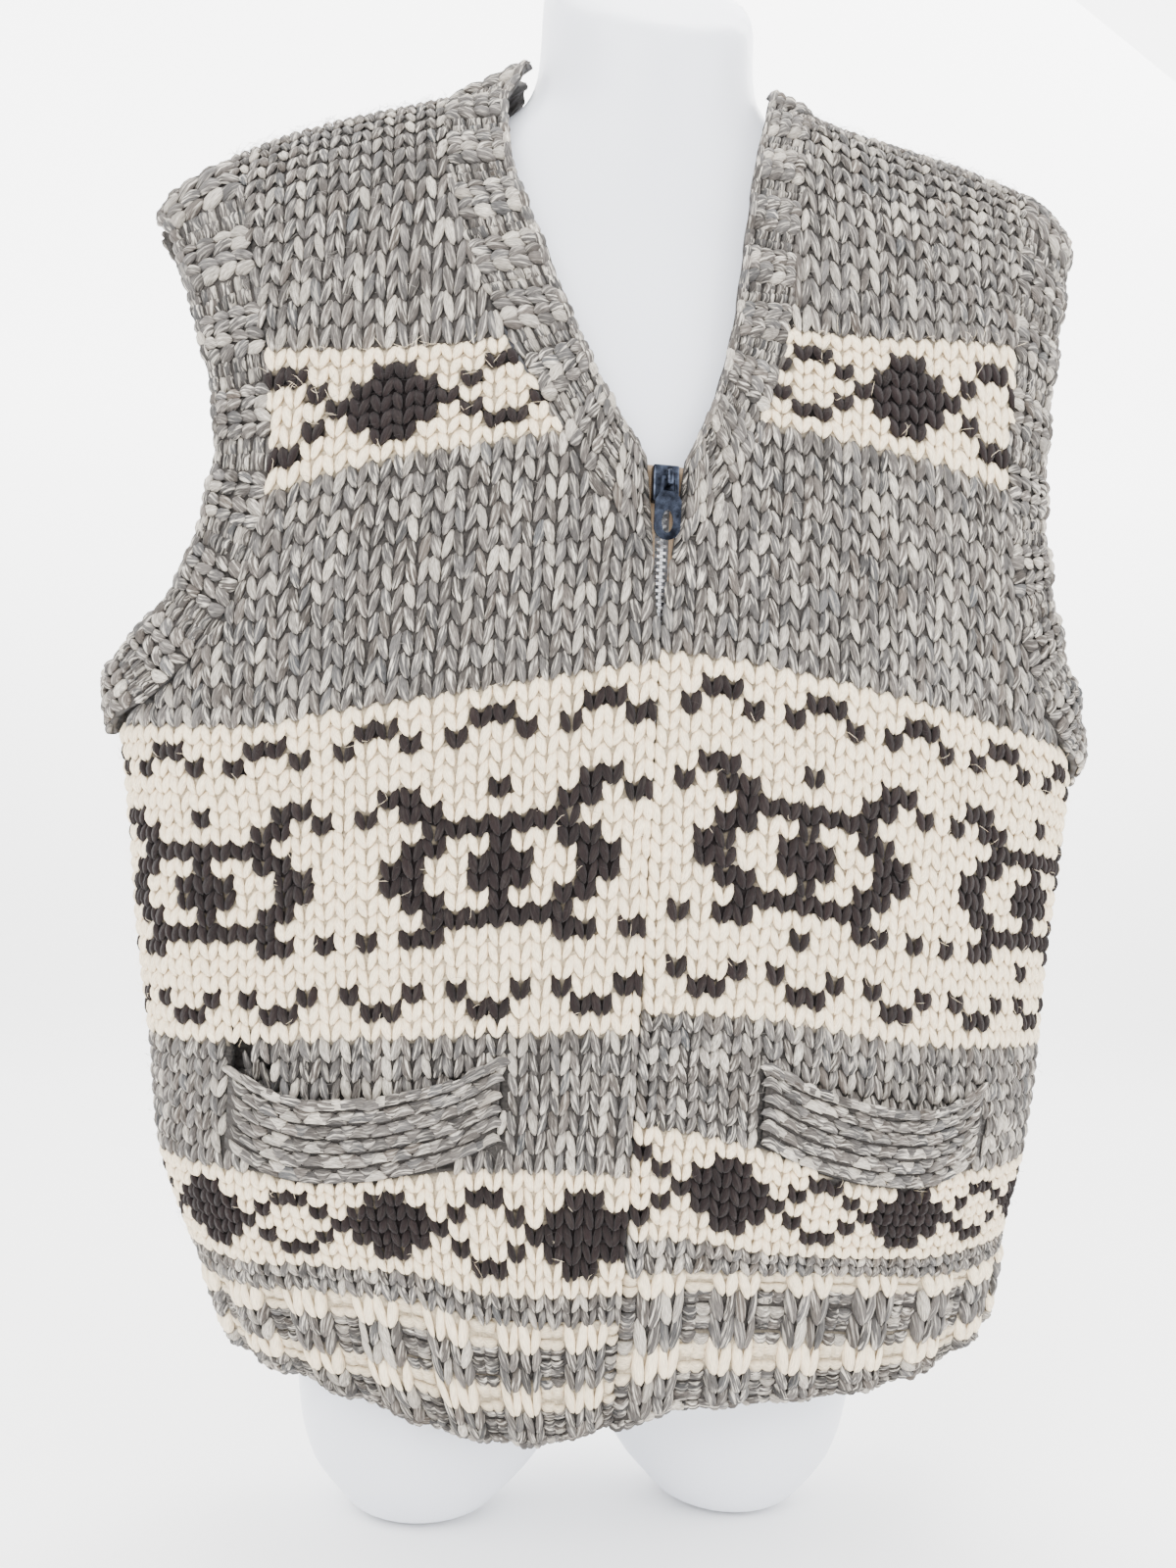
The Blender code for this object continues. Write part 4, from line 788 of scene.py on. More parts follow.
@dataclass(frozen=True)
class ColourChart:
    """The vest's colour work, row by row, charted and repeated by rule."""

    arch: tuple = (".XX..", "X..X.")
    cup: tuple = ("X..X.", ".XX..")
    motif: tuple = (
        ".XX...X...XX.",
        "X.XX.....XX.X",
        "...XXXXXXX...",
        "..XX..X..XX..",
        ".XX..XXX..XX.",
        ".XX..XXX..XX.",
        "..XX..X..XX..",
        "...XXXXXXX...",
        "X.XX.....XX.X",
    )
    chain: tuple = (".XX...XX..", "X..X.XXXX.", "....XXXXXX", "X..X.XXXX.", ".XX...XX..")
    stripes: tuple = ((0, Yarn.GREY), (2, Yarn.CREAM), (3, Yarn.GREY), (5, Yarn.CREAM),
                      (6, Yarn.GREY), (8, Yarn.CREAM), (15, Yarn.GREY), (22, Yarn.CREAM),
                      (41, Yarn.GREY), (52, Yarn.CREAM), (59, Yarn.GREY))

    def yarns(self, stitch: np.ndarray, row: np.ndarray, surface: VestSurface) -> np.ndarray:
        """Which yarn each stitch is knitted in.

        Args:
            stitch: Whole stitch numbers from the zip, or from the middle of the back.
            row: Whole row numbers from the hem.
            surface: The side and face that the stitches are on.

        Returns:
            0 for grey, 1 for cream and 2 for brown at each stitch.
        """
        order = {Yarn.GREY: 0, Yarn.CREAM: 1, Yarn.BROWN: 2}
        starts = np.array([start for start, _ in self.stripes])
        shades = np.array([order[yarn] for _, yarn in self.stripes])
        made = shades[np.clip(np.searchsorted(starts, row, side="right") - 1, 0, len(starts) - 1)]
        right, back = surface.side is Side.RIGHT, surface.face is Face.BACK
        if back:
            count = np.where(right, -1 - stitch, stitch)
            wide, arch, upper, lower = count + 6, count + 2, count + 7, count + 7
        elif right:
            wide, arch, upper, lower = 12 - stitch, stitch, stitch - 5, stitch + 5
        else:
            wide, arch, upper, lower = stitch - 1, stitch - 1, stitch - 5, stitch + 2
        bands = ((self.chain, 10, 13, lower), (self.cup, 5, 24, arch), (self.motif, 14, 35, wide),
                 (self.arch, 5, 39, arch), (self.chain, 10, 57, upper))
        for chart, period, top, count in bands:
            width = len(chart[0])
            marks = np.array([[mark == "X" for mark in line] + [False] * (period - width)
                              for line in chart])
            line = top - row
            inside = (line >= 0) & (line < len(chart))
            dark = marks[np.clip(line, 0, len(chart) - 1), count % period]
            made = np.where(inside & dark, order[Yarn.BROWN], made)
        if not right and not back:
            made = np.where((row == 26) & (wide % 14 == 6), order[Yarn.BROWN], made)
        return made


YARNS = (Yarn.GREY, Yarn.CREAM, Yarn.BROWN)
YARN_COLOURS = np.array([yarn.colour for yarn in YARNS])
YARN_MARLS = np.array([yarn.marl for yarn in YARNS])
PALE_DYE = linear((192, 184, 171))
PALE_CHANCE = 0.17
TONE_SPREAD = 0.12
TONE_SHARES = np.array([1.9, 0.25, 0.9])
CHART = ColourChart()
GREY_DYE = Yarn.GREY.colour


def all_grey(count: int) -> np.ndarray:
    """The kind of yarn for a count of strands that are all grey."""
    return np.zeros(count, int)


def dyed(kind: np.ndarray, rng: np.random.Generator) -> tuple[np.ndarray, np.ndarray]:
    """Colour and marl of strands by yarn, each a little lighter or darker than the next.

    The grey yarn is plied from a light and a dark strand, so some of its strands show mostly light.

    Args:
        kind: Yarn of each strand.
        rng: Source of the dye's unevenness.

    Returns:
        Linear colours, and the share of light strand in each.
    """
    count = len(kind)
    tone = 1 + rng.normal(0.0, TONE_SPREAD, count) * TONE_SHARES[kind]
    colour = YARN_COLOURS[kind] * np.clip(tone, 0.55, 1.6)[:, None]
    warm = rng.normal(0.0, 0.035, count) * (kind == 0)
    colour = colour * (1 + warm[:, None] * np.array([1.0, 0.0, -1.0]))
    pale = (rng.uniform(0.0, 1.0, count) < PALE_CHANCE) & (kind == 0)
    paled = colour + (PALE_DYE - colour) * rng.uniform(0.30, 0.85, count)[:, None]
    colour = np.where(pale[:, None], paled, colour)
    marl = YARN_MARLS[kind] * rng.uniform(0.35, 1.15, count)
    return colour, marl


def knit_legs(stitch: np.ndarray, row: np.ndarray, start: float, kind: np.ndarray,
              rng: np.random.Generator) -> Strands:
    """Two legs of a V for each stitch: from its foot they lean apart to the row above.

    Args:
        stitch: Whole stitch numbers.
        row: Whole row numbers.
        start: Where stitch 0 begins, in stitches from the middle.
        kind: Yarn of each stitch.
        rng: Source of the hand's unevenness.

    Returns:
        The legs.
    """
    groups = []
    wander = 0.05 * np.sin(row * 0.9 + stitch * 0.23) + 0.04 * np.sin(row * 0.37 - stitch * 0.71)
    for lean in (-1, 1):
        count = len(stitch)
        shake = rng.normal(0.0, 0.032, (count, 4))
        centre = stitch + 0.5 + start + wander
        foot = np.stack([centre + lean * 0.07 + shake[:, 0], row - 0.27 + shake[:, 1]], axis=1)
        head = np.stack([centre + lean * 0.40 + shake[:, 2], row + 1.14 + shake[:, 3]], axis=1)
        colour, marl = dyed(kind, rng)
        groups.append(Strands(
            foot, head,
            rng.normal(0.00240, 0.00020, count),
            rng.normal(0.00170, 0.00012, count),
            np.stack([rng.normal(0.0014, 0.0002, count), rng.normal(-0.0009, 0.0002, count),
                      np.full(count, 0.0012)], axis=1),
            np.full(count, lean * 0.00045), colour, marl))
    return Strands.join(groups)


def purl_arcs(across: np.ndarray, up: np.ndarray, half: float, bow: np.ndarray, kind: np.ndarray,
              rng: np.random.Generator, lift: float = 0.0002, thick: float = 0.0019) -> Strands:
    """One lying arc for each purl bump, bowed up or down.

    Args:
        across: Middle of each bump across the patch.
        up: Middle of each bump up the patch.
        half: Half of a bump's length in the patch's own steps.
        bow: How far each bump's middle stands above its ends, in metres.
        kind: Yarn of each bump.
        rng: Source of the hand's unevenness.
        lift: How far the bumps stand out of the patch.
        thick: Half of a bump's width.

    Returns:
        The arcs.
    """
    count = len(across)
    shake = rng.normal(0.0, 1.0, (count, 4))
    foot = np.stack([across - half * (1 + 0.06 * shake[:, 0]), up], axis=1)
    head = np.stack([across + half * (1 + 0.06 * shake[:, 1]), up], axis=1)
    colour, marl = dyed(kind, rng)
    return Strands(foot, head, thick * (1 + 0.08 * shake[:, 2]), 0.0017 + 0.00012 * shake[:, 3],
                   np.stack([np.full(count, lift - 0.0006), np.full(count, lift - 0.0006),
                             np.full(count, 0.0012)], axis=1), -bow, colour, marl)


def rib_strands(stitch: np.ndarray, row: np.ndarray, kind: np.ndarray,
                rng: np.random.Generator) -> Strands:
    """Strands of a two-by-two rib: pairs of broad knit stitches, and narrow purl ones between.

    In each four stitches the first and last are purl. The knit pair is spread to five eighths of
    the four, and the purl stitches are drawn together over the rest.

    Args:
        stitch: Whole stitch numbers.
        row: Whole row numbers.
        kind: Yarn of each stitch.
        rng: Source of the hand's unevenness.

    Returns:
        The knit stitches' legs and the purl stitches' lying arcs.
    """
    plain = np.isin(stitch % 4, (1, 2))
    pull = np.array([-0.12, -0.13, 0.13, 0.12])[stitch % 4]
    legs = knit_legs(stitch[plain], row[plain], 0.0, kind[plain], rng)
    middle = np.tile(stitch[plain] + 0.5, 2)
    shift = np.tile(pull[plain], 2)
    for ends in (legs.foot, legs.head):
        ends[:, 0] = middle + shift + (ends[:, 0] - middle) * 1.24
    legs.half_width *= 1.30
    groups = [legs]
    purl = ~plain
    spots = stitch[purl] + 0.5 + pull[purl] * 1.4
    for up, bow, half in ((0.14, -0.0012, 0.52), (0.47, 0.0012, 0.46), (0.80, -0.0010, 0.50)):
        rise = rng.normal(0.0, 0.04, purl.sum())
        bumps = purl_arcs(spots, row[purl] + up + rise, half, np.full(purl.sum(), bow),
                          kind[purl], rng, 0.0004, 0.0022)
        # Painted shade: the purl arcs sink between the knit ribs, so their colour is darkened to
        # 0.72 for the shadow there.
        bumps.colour = bumps.colour * 0.72
        groups.append(bumps)
    return Strands.join(groups)


@dataclass(frozen=True)
class WoolFinish:
    """Lightly spun wool: fibres along each strand, a light strand in the marl, and a soft nap."""

    name: str
    roughness: float = 0.92
    sheen: float = 0.05
    sheen_roughness: float = 0.55
    fibre_scale: tuple = (3100.0, 330.0, 1.0)
    marl_scale: tuple = (950.0, 105.0, 1.0)
    light_strand: tuple = (190, 183, 172)
    bump: float = 0.7
    bump_depth: float = 0.0007

    def make(self) -> bpy.types.Material:
        """Build the material's nodes."""
        made, tree, shader = plain_material(self.name)
        colour = attribute_node(tree, "yarn").outputs["Color"]
        marl = attribute_node(tree, "marl").outputs["Fac"]
        fine = self.streaks(tree, self.fibre_scale, 2.5)
        broad = self.streaks(tree, self.marl_scale, 1.5)
        light = ramp(tree, broad, (0.50, 0.64))
        share = multiply(tree, light, marl)
        mixed = mix(tree, share, colour, tuple(linear(self.light_strand)) + (1.0,))
        swing = map_range(tree, fine, (0.32, 0.68), (-1.0, 1.0))
        reach = map_range(tree, marl, (0.0, 1.0), (0.26, 0.62))
        tone = map_range(tree, multiply(tree, swing, reach), (-1.0, 1.0), (0.0, 2.0))
        tint(tree, shader, mixed, tone)
        shader.inputs["Roughness"].default_value = self.roughness
        shader.inputs["Sheen Weight"].default_value = self.sheen
        shader.inputs["Sheen Roughness"].default_value = self.sheen_roughness
        shader.inputs["Specular IOR Level"].default_value = 0.25
        bump(tree, shader, fine, self.bump, self.bump_depth)
        return made

    def streaks(self, tree: bpy.types.NodeTree, scale: tuple, detail: float) -> Socket:
        """Noise drawn out along the strand, read from the fibre map."""
        uv = node(tree, "ShaderNodeUVMap", uv_map="fibre")
        mapping = node(tree, "ShaderNodeMapping")
        mapping.inputs["Scale"].default_value = scale
        noise = node(tree, "ShaderNodeTexNoise")
        noise.inputs["Scale"].default_value = 1.0
        noise.inputs["Detail"].default_value = detail
        tree.links.new(uv.outputs["UV"], mapping.inputs["Vector"])
        tree.links.new(mapping.outputs["Vector"], noise.inputs["Vector"])
        return noise.outputs["Fac"]


@dataclass(frozen=True)
class GroundFinish(WoolFinish):
    """The wrong side of the knitting under the strands: rows of small purl bumps, in shadow."""

    stitch: tuple = PITCH

    def make(self) -> bpy.types.Material:
        """Build the material's nodes: the wool, with bumps of two crossed waves."""
        made, tree, shader = plain_material(self.name)
        colour = attribute_node(tree, "yarn").outputs["Color"]
        uv = node(tree, "ShaderNodeUVMap", uv_map="fibre")
        parts = node(tree, "ShaderNodeSeparateXYZ")
        tree.links.new(uv.outputs["UV"], parts.inputs[0])
        across = sine(tree, parts.outputs["X"], 2 * math.pi / self.stitch[0])
        up = sine(tree, parts.outputs["Y"], 4 * math.pi / self.stitch[1])
        height = multiply(tree, across, up)
        fine = self.streaks(tree, (900.0, 900.0, 1.0), 3.0)
        tone = map_range(tree, fine, (0.30, 0.70), (0.55, 1.0))
        tint(tree, shader, colour, tone)
        shader.inputs["Roughness"].default_value = self.roughness
        shader.inputs["Sheen Weight"].default_value = self.sheen
        shader.inputs["Specular IOR Level"].default_value = 0.2
        bump(tree, shader, height, 0.9, 0.0016)
        return made


@dataclass(frozen=True)
class PlasticFinish:
    """Smooth white moulded plastic with a soft gloss and a faint unevenness."""

    name: str = "form_plastic_white"
    colour: tuple = (232, 235, 243)
    roughness: float = 0.34

    def make(self) -> bpy.types.Material:
        """Build the material's nodes."""
        made, tree, shader = plain_material(self.name)
        wide = object_noise(tree, 9.0, 2.0)
        fine = object_noise(tree, 420.0, 2.0)
        shade = map_range(tree, wide, (0.3, 0.7), (0.965, 1.0))
        tint(tree, shader, tuple(linear(self.colour)), shade)
        rough = map_range(tree, fine, (0.3, 0.7), (self.roughness - 0.04, self.roughness + 0.06))
        tree.links.new(rough, shader.inputs["Roughness"])
        shader.inputs["Subsurface Weight"].default_value = 0.06
        shader.inputs["Subsurface Radius"].default_value = (0.004, 0.004, 0.005)
        bump(tree, shader, fine, 0.05, 0.0004)
        return made


@dataclass(frozen=True)
class MetalFinish:
    """Metal that is worn along its grain, with a fine cloudiness."""

    name: str
    colour: tuple
    dark: tuple
    roughness: float

    def make(self) -> bpy.types.Material:
        """Build the material's nodes."""
        made, tree, shader = plain_material(self.name)
        cloud = object_noise(tree, 260.0, 4.0)
        grain = object_noise(tree, 2400.0, 2.0)
        share = ramp(tree, cloud, (0.35, 0.65))
        mixed = mix(tree, share, tuple(linear(self.dark)) + (1.0,),
                    tuple(linear(self.colour)) + (1.0,))
        tree.links.new(mixed, shader.inputs["Base Color"])
        rough = map_range(tree, grain, (0.3, 0.7), (self.roughness - 0.08, self.roughness + 0.10))
        tree.links.new(rough, shader.inputs["Roughness"])
        shader.inputs["Metallic"].default_value = 1.0
        bump(tree, shader, grain, 0.12, 0.0001)
        return made


@dataclass(frozen=True)
class TapeFinish:
    """Woven herringbone tape."""

    name: str = "zip_tape_weave"
    colour: tuple = (150, 128, 104)
    rib: float = 0.0009

    def make(self) -> bpy.types.Material:
        """Build the material's nodes: two slanted waves crossed into a small weave."""
        made, tree, shader = plain_material(self.name)
        parts = object_axes(tree)
        across = sine(tree, parts.outputs["X"], 2 * math.pi / self.rib)
        up = sine(tree, parts.outputs["Z"], 2 * math.pi / self.rib)
        height = multiply(tree, across, up)
        tone = map_range(tree, height, (0.0, 1.0), (0.7, 1.05))
        tint(tree, shader, tuple(linear(self.colour)), tone)
        shader.inputs["Roughness"].default_value = 0.85
        bump(tree, shader, height, 0.5, 0.0003)
        return made


@dataclass(frozen=True)
class FloorFinish:
    """A plain pale floor and backdrop with painted light: it glows by its own emission, more as it
    rises, standing in for a light behind it.
    """

    name: str = "backdrop_pale"
    colour: tuple = (250, 250, 250)
    glow: float = 3.0

    def make(self) -> bpy.types.Material:
        """Build the material."""
        made, tree, shader = plain_material(self.name)
        wide = object_noise(tree, 2.0, 2.0)
        shade = map_range(tree, wide, (0.3, 0.7), (0.985, 1.0))
        tint(tree, shader, tuple(linear(self.colour)), shade)
        shader.inputs["Roughness"].default_value = 0.7
        # Painted light: the backdrop glows by emission, more the higher it rises, standing in for a
        # lamp behind it.
        parts = object_axes(tree)
        glow = ramp(tree, parts.outputs["Z"], (0.05, 0.9))
        tree.links.new(glow, shader.inputs["Emission Color"])
        shader.inputs["Emission Strength"].default_value = self.glow
        return made


def plain_material(name: str) -> tuple:
    """A new material with its node tree and its shader."""
    made = bpy.data.materials.new(name)
    made.use_nodes = True
    return made, made.node_tree, made.node_tree.nodes["Principled BSDF"]


def node(tree: bpy.types.NodeTree, kind: str, **settings) -> bpy.types.Node:
    """Add a node and set its own settings."""
    made = tree.nodes.new(kind)
    for name, value in settings.items():
        setattr(made, name, value)
    return made


def attribute_node(tree: bpy.types.NodeTree, name: str) -> bpy.types.Node:
    """A node that reads one of the mesh's attributes."""
    return node(tree, "ShaderNodeAttribute", attribute_name=name)


def object_noise(tree: bpy.types.NodeTree, scale: float, detail: float) -> Socket:
    """Noise on the object's own coordinates."""
    place = node(tree, "ShaderNodeTexCoord")
    noise = node(tree, "ShaderNodeTexNoise")
    noise.inputs["Scale"].default_value = scale
    noise.inputs["Detail"].default_value = detail
    tree.links.new(place.outputs["Object"], noise.inputs["Vector"])
    return noise.outputs["Fac"]


def object_axes(tree: bpy.types.NodeTree) -> bpy.types.Node:
    """The object's own coordinates, taken apart."""
    place = node(tree, "ShaderNodeTexCoord")
    parts = node(tree, "ShaderNodeSeparateXYZ")
    tree.links.new(place.outputs["Object"], parts.inputs[0])
    return parts


def tint(tree: bpy.types.NodeTree, shader: bpy.types.Node, colour: Source, tone: Socket) -> None:
    """Give a shader a colour times a tone, the colour a socket or a fixed one."""
    scaled = node(tree, "ShaderNodeVectorMath", operation="SCALE")
    if isinstance(colour, tuple):
        scaled.inputs[0].default_value = colour
    else:
        tree.links.new(colour, scaled.inputs[0])
    tree.links.new(tone, scaled.inputs["Scale"])
    tree.links.new(scaled.outputs[0], shader.inputs["Base Color"])


def map_range(tree: bpy.types.NodeTree, value: Socket, source: tuple, target: tuple) -> Socket:
    """Stretch a value from one span to another."""
    made = node(tree, "ShaderNodeMapRange")
    tree.links.new(value, made.inputs["Value"])
    for name, number in zip(("From Min", "From Max", "To Min", "To Max"), source + target):
        made.inputs[name].default_value = number
    return made.outputs["Result"]


def ramp(tree: bpy.types.NodeTree, value: Socket, span: tuple) -> Socket:
    """A rise from 0 to 1 over a span of a value."""
    return map_range(tree, value, span, (0.0, 1.0))


def multiply(tree: bpy.types.NodeTree, first: Socket, second: Socket) -> Socket:
    """The product of two values."""
    made = node(tree, "ShaderNodeMath", operation="MULTIPLY")
    tree.links.new(first, made.inputs[0])
    tree.links.new(second, made.inputs[1])
    return made.outputs[0]


def sine(tree: bpy.types.NodeTree, value: Socket, rate: float) -> Socket:
    """A wave between 0 and 1: half of one plus the sine of the value times a rate."""
    scaled = node(tree, "ShaderNodeMath", operation="MULTIPLY")
    scaled.inputs[1].default_value = rate
    tree.links.new(value, scaled.inputs[0])
    wave = node(tree, "ShaderNodeMath", operation="SINE")
    tree.links.new(scaled.outputs[0], wave.inputs[0])
    return map_range(tree, wave.outputs[0], (-1.0, 1.0), (0.0, 1.0))


def mix(tree: bpy.types.NodeTree, share: Socket, first: Source, second: Source) -> Socket:
    """Mix two colours, each a socket or a fixed colour."""
    made = node(tree, "ShaderNodeMix", data_type="RGBA")
    tree.links.new(share, made.inputs["Factor"])
    for name, colour in (("A", first), ("B", second)):
        socket = [one for one in made.inputs if one.name == name and one.type == "RGBA"][0]
        if isinstance(colour, tuple):
            socket.default_value = colour
        else:
            tree.links.new(colour, socket)
    return [one for one in made.outputs if one.type == "RGBA"][0]


def bump(tree: bpy.types.NodeTree, shader: bpy.types.Node, height: Socket, strength: float,
         distance: float) -> None:
    """Raise a height into the shader's normal."""
    made = node(tree, "ShaderNodeBump")
    made.inputs["Strength"].default_value = strength
    made.inputs["Distance"].default_value = distance
    tree.links.new(height, made.inputs["Height"])
    tree.links.new(made.outputs["Normal"], shader.inputs["Normal"])


@dataclass
class Wardrobe:
    """The finishes, each made once."""

    body: bpy.types.Material = field(default_factory=lambda: WoolFinish("wool_body").make())
    border: bpy.types.Material = field(default_factory=lambda: WoolFinish("wool_border").make())
    ground: bpy.types.Material = field(default_factory=lambda: GroundFinish("wool_inside").make())
    plastic: bpy.types.Material = field(default_factory=lambda: PlasticFinish().make())
    tape: bpy.types.Material = field(default_factory=lambda: TapeFinish().make())
    floor: bpy.types.Material = field(default_factory=lambda: FloorFinish().make())
    teeth: bpy.types.Material = field(default_factory=lambda: MetalFinish(
        "zip_teeth_metal", (246, 246, 248), (214, 214, 216), 0.24).make())
    slider: bpy.types.Material = field(default_factory=lambda: MetalFinish(
        "zip_slider_metal", (64, 70, 84), (24, 26, 32), 0.32).make())


def dress(made: bpy.types.Object, material: bpy.types.Material, body: str = BODY,
          replaced: tuple = ()) -> bpy.types.Object:
    """Give a piece its material and its body, and hide the nodes that it stands for."""
    made.data.materials.clear()
    made.data.materials.append(material)
    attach(made, body)
    if replaced:
        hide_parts(*replaced)
    triangles = sum(len(polygon.vertices) - 2 for polygon in made.data.polygons)
    LOG.info("%s: %d triangles", made.name, triangles)
    return made


@dataclass
class Panel:
    """A front, or one half of the back: its ground and its stocking stitches."""

    side: Side
    face: Face
    seed: int
    ground_out: float = 0.0004
    first_full: float = 0.36
    mouth_gape: float = 0.017

    @property
    def patch(self) -> PanelPatch:
        """The cloth that the stitches lie on."""
        return PanelPatch(VestSurface(self.side, self.face))

    @property
    def start(self) -> float:
        """Where stitch 0 begins: after the narrow selvedge on the wearer's right front."""
        return self.first_full if self.side is Side.RIGHT and self.face is Face.FRONT else 0.0

    def ground_parts(self) -> MeshParts:
        """The thin cloth under the stitches, coloured as they are but in their shadow."""
        rows = np.unique(np.concatenate([np.arange(RIB_ROWS + 0.04, RIDGE_ROW, 0.5), [RIDGE_ROW]]))
        first, last = self.patch.edges(rows)
        share = np.linspace(0.0, 1.0, STITCHES + 8)
        stitch = first[:, None] + (last - first)[:, None] * share
        row = np.repeat(rows[:, None], len(share), axis=1)
        outer = self.patch.at(stitch, row, self.ground_out)
        inner = self.patch.at(stitch, row, -WALL)
        whole = np.clip(np.floor(stitch - self.start), 0, STITCHES - 1).astype(int)
        kind = CHART.yarns(whole, np.floor(row).astype(int), self.patch.surface)
        fibre = np.stack([stitch, row], axis=-1) * PITCH
        colour = YARN_COLOURS[kind] * GROUND_SHADE
        return wall_parts(outer, inner, colour, YARN_MARLS[kind], fibre)

    def hole(self, x: np.ndarray) -> np.ndarray:
        """How far above its lip the mouth gapes: only at the outer end on the wearer's right."""
        return self.mouth_gape * ease(x, (0.146, 0.166)) * (self.side is Side.RIGHT)

    def stitches(self) -> MeshParts:
        """Every V of the panel between its edges, but for those at the pocket's mouth."""
        rng = np.random.default_rng(self.seed)
        stitch, row = np.meshgrid(np.arange(-1, STITCHES), np.arange(RIB_ROWS, RIDGE_ROW))
        stitch, row = stitch.ravel(), row.ravel()
        kind = CHART.yarns(np.clip(stitch, 0, STITCHES - 1), row, self.patch.surface)
        legs = knit_legs(stitch, row, self.start, kind, rng)
        middle = (legs.foot + legs.head) / 2
        first, last = self.patch.edges(middle[:, 1])
        keep = (middle[:, 0] > first - 0.10) & (middle[:, 0] < last + 0.12)
        if self.face is Face.FRONT:
            x, z = self.patch.surface.place(middle[:, 0], middle[:, 1])
            lip = lip_height(x)
            across = (x > MOUTH_START - 0.001) & (x < MOUTH_END + 0.001)
            keep &= ~(across & (z > lip - WELT_HEIGHT) & (z < lip - 0.004 + self.hole(x)))
        legs = legs.keep(keep)
        edge_first, edge_last = self.patch.edges(legs.head[:, 1])
        legs.head[:, 0] = np.clip(legs.head[:, 0], edge_first + 0.05, edge_last)
        legs.foot[:, 0] = np.clip(legs.foot[:, 0], self.patch.edges(legs.foot[:, 1])[0] + 0.05, 99)
        legs.head[:, 1] = np.minimum(legs.head[:, 1], RIDGE_ROW)
        return lay_strands(self.patch, legs, PITCH, rng)


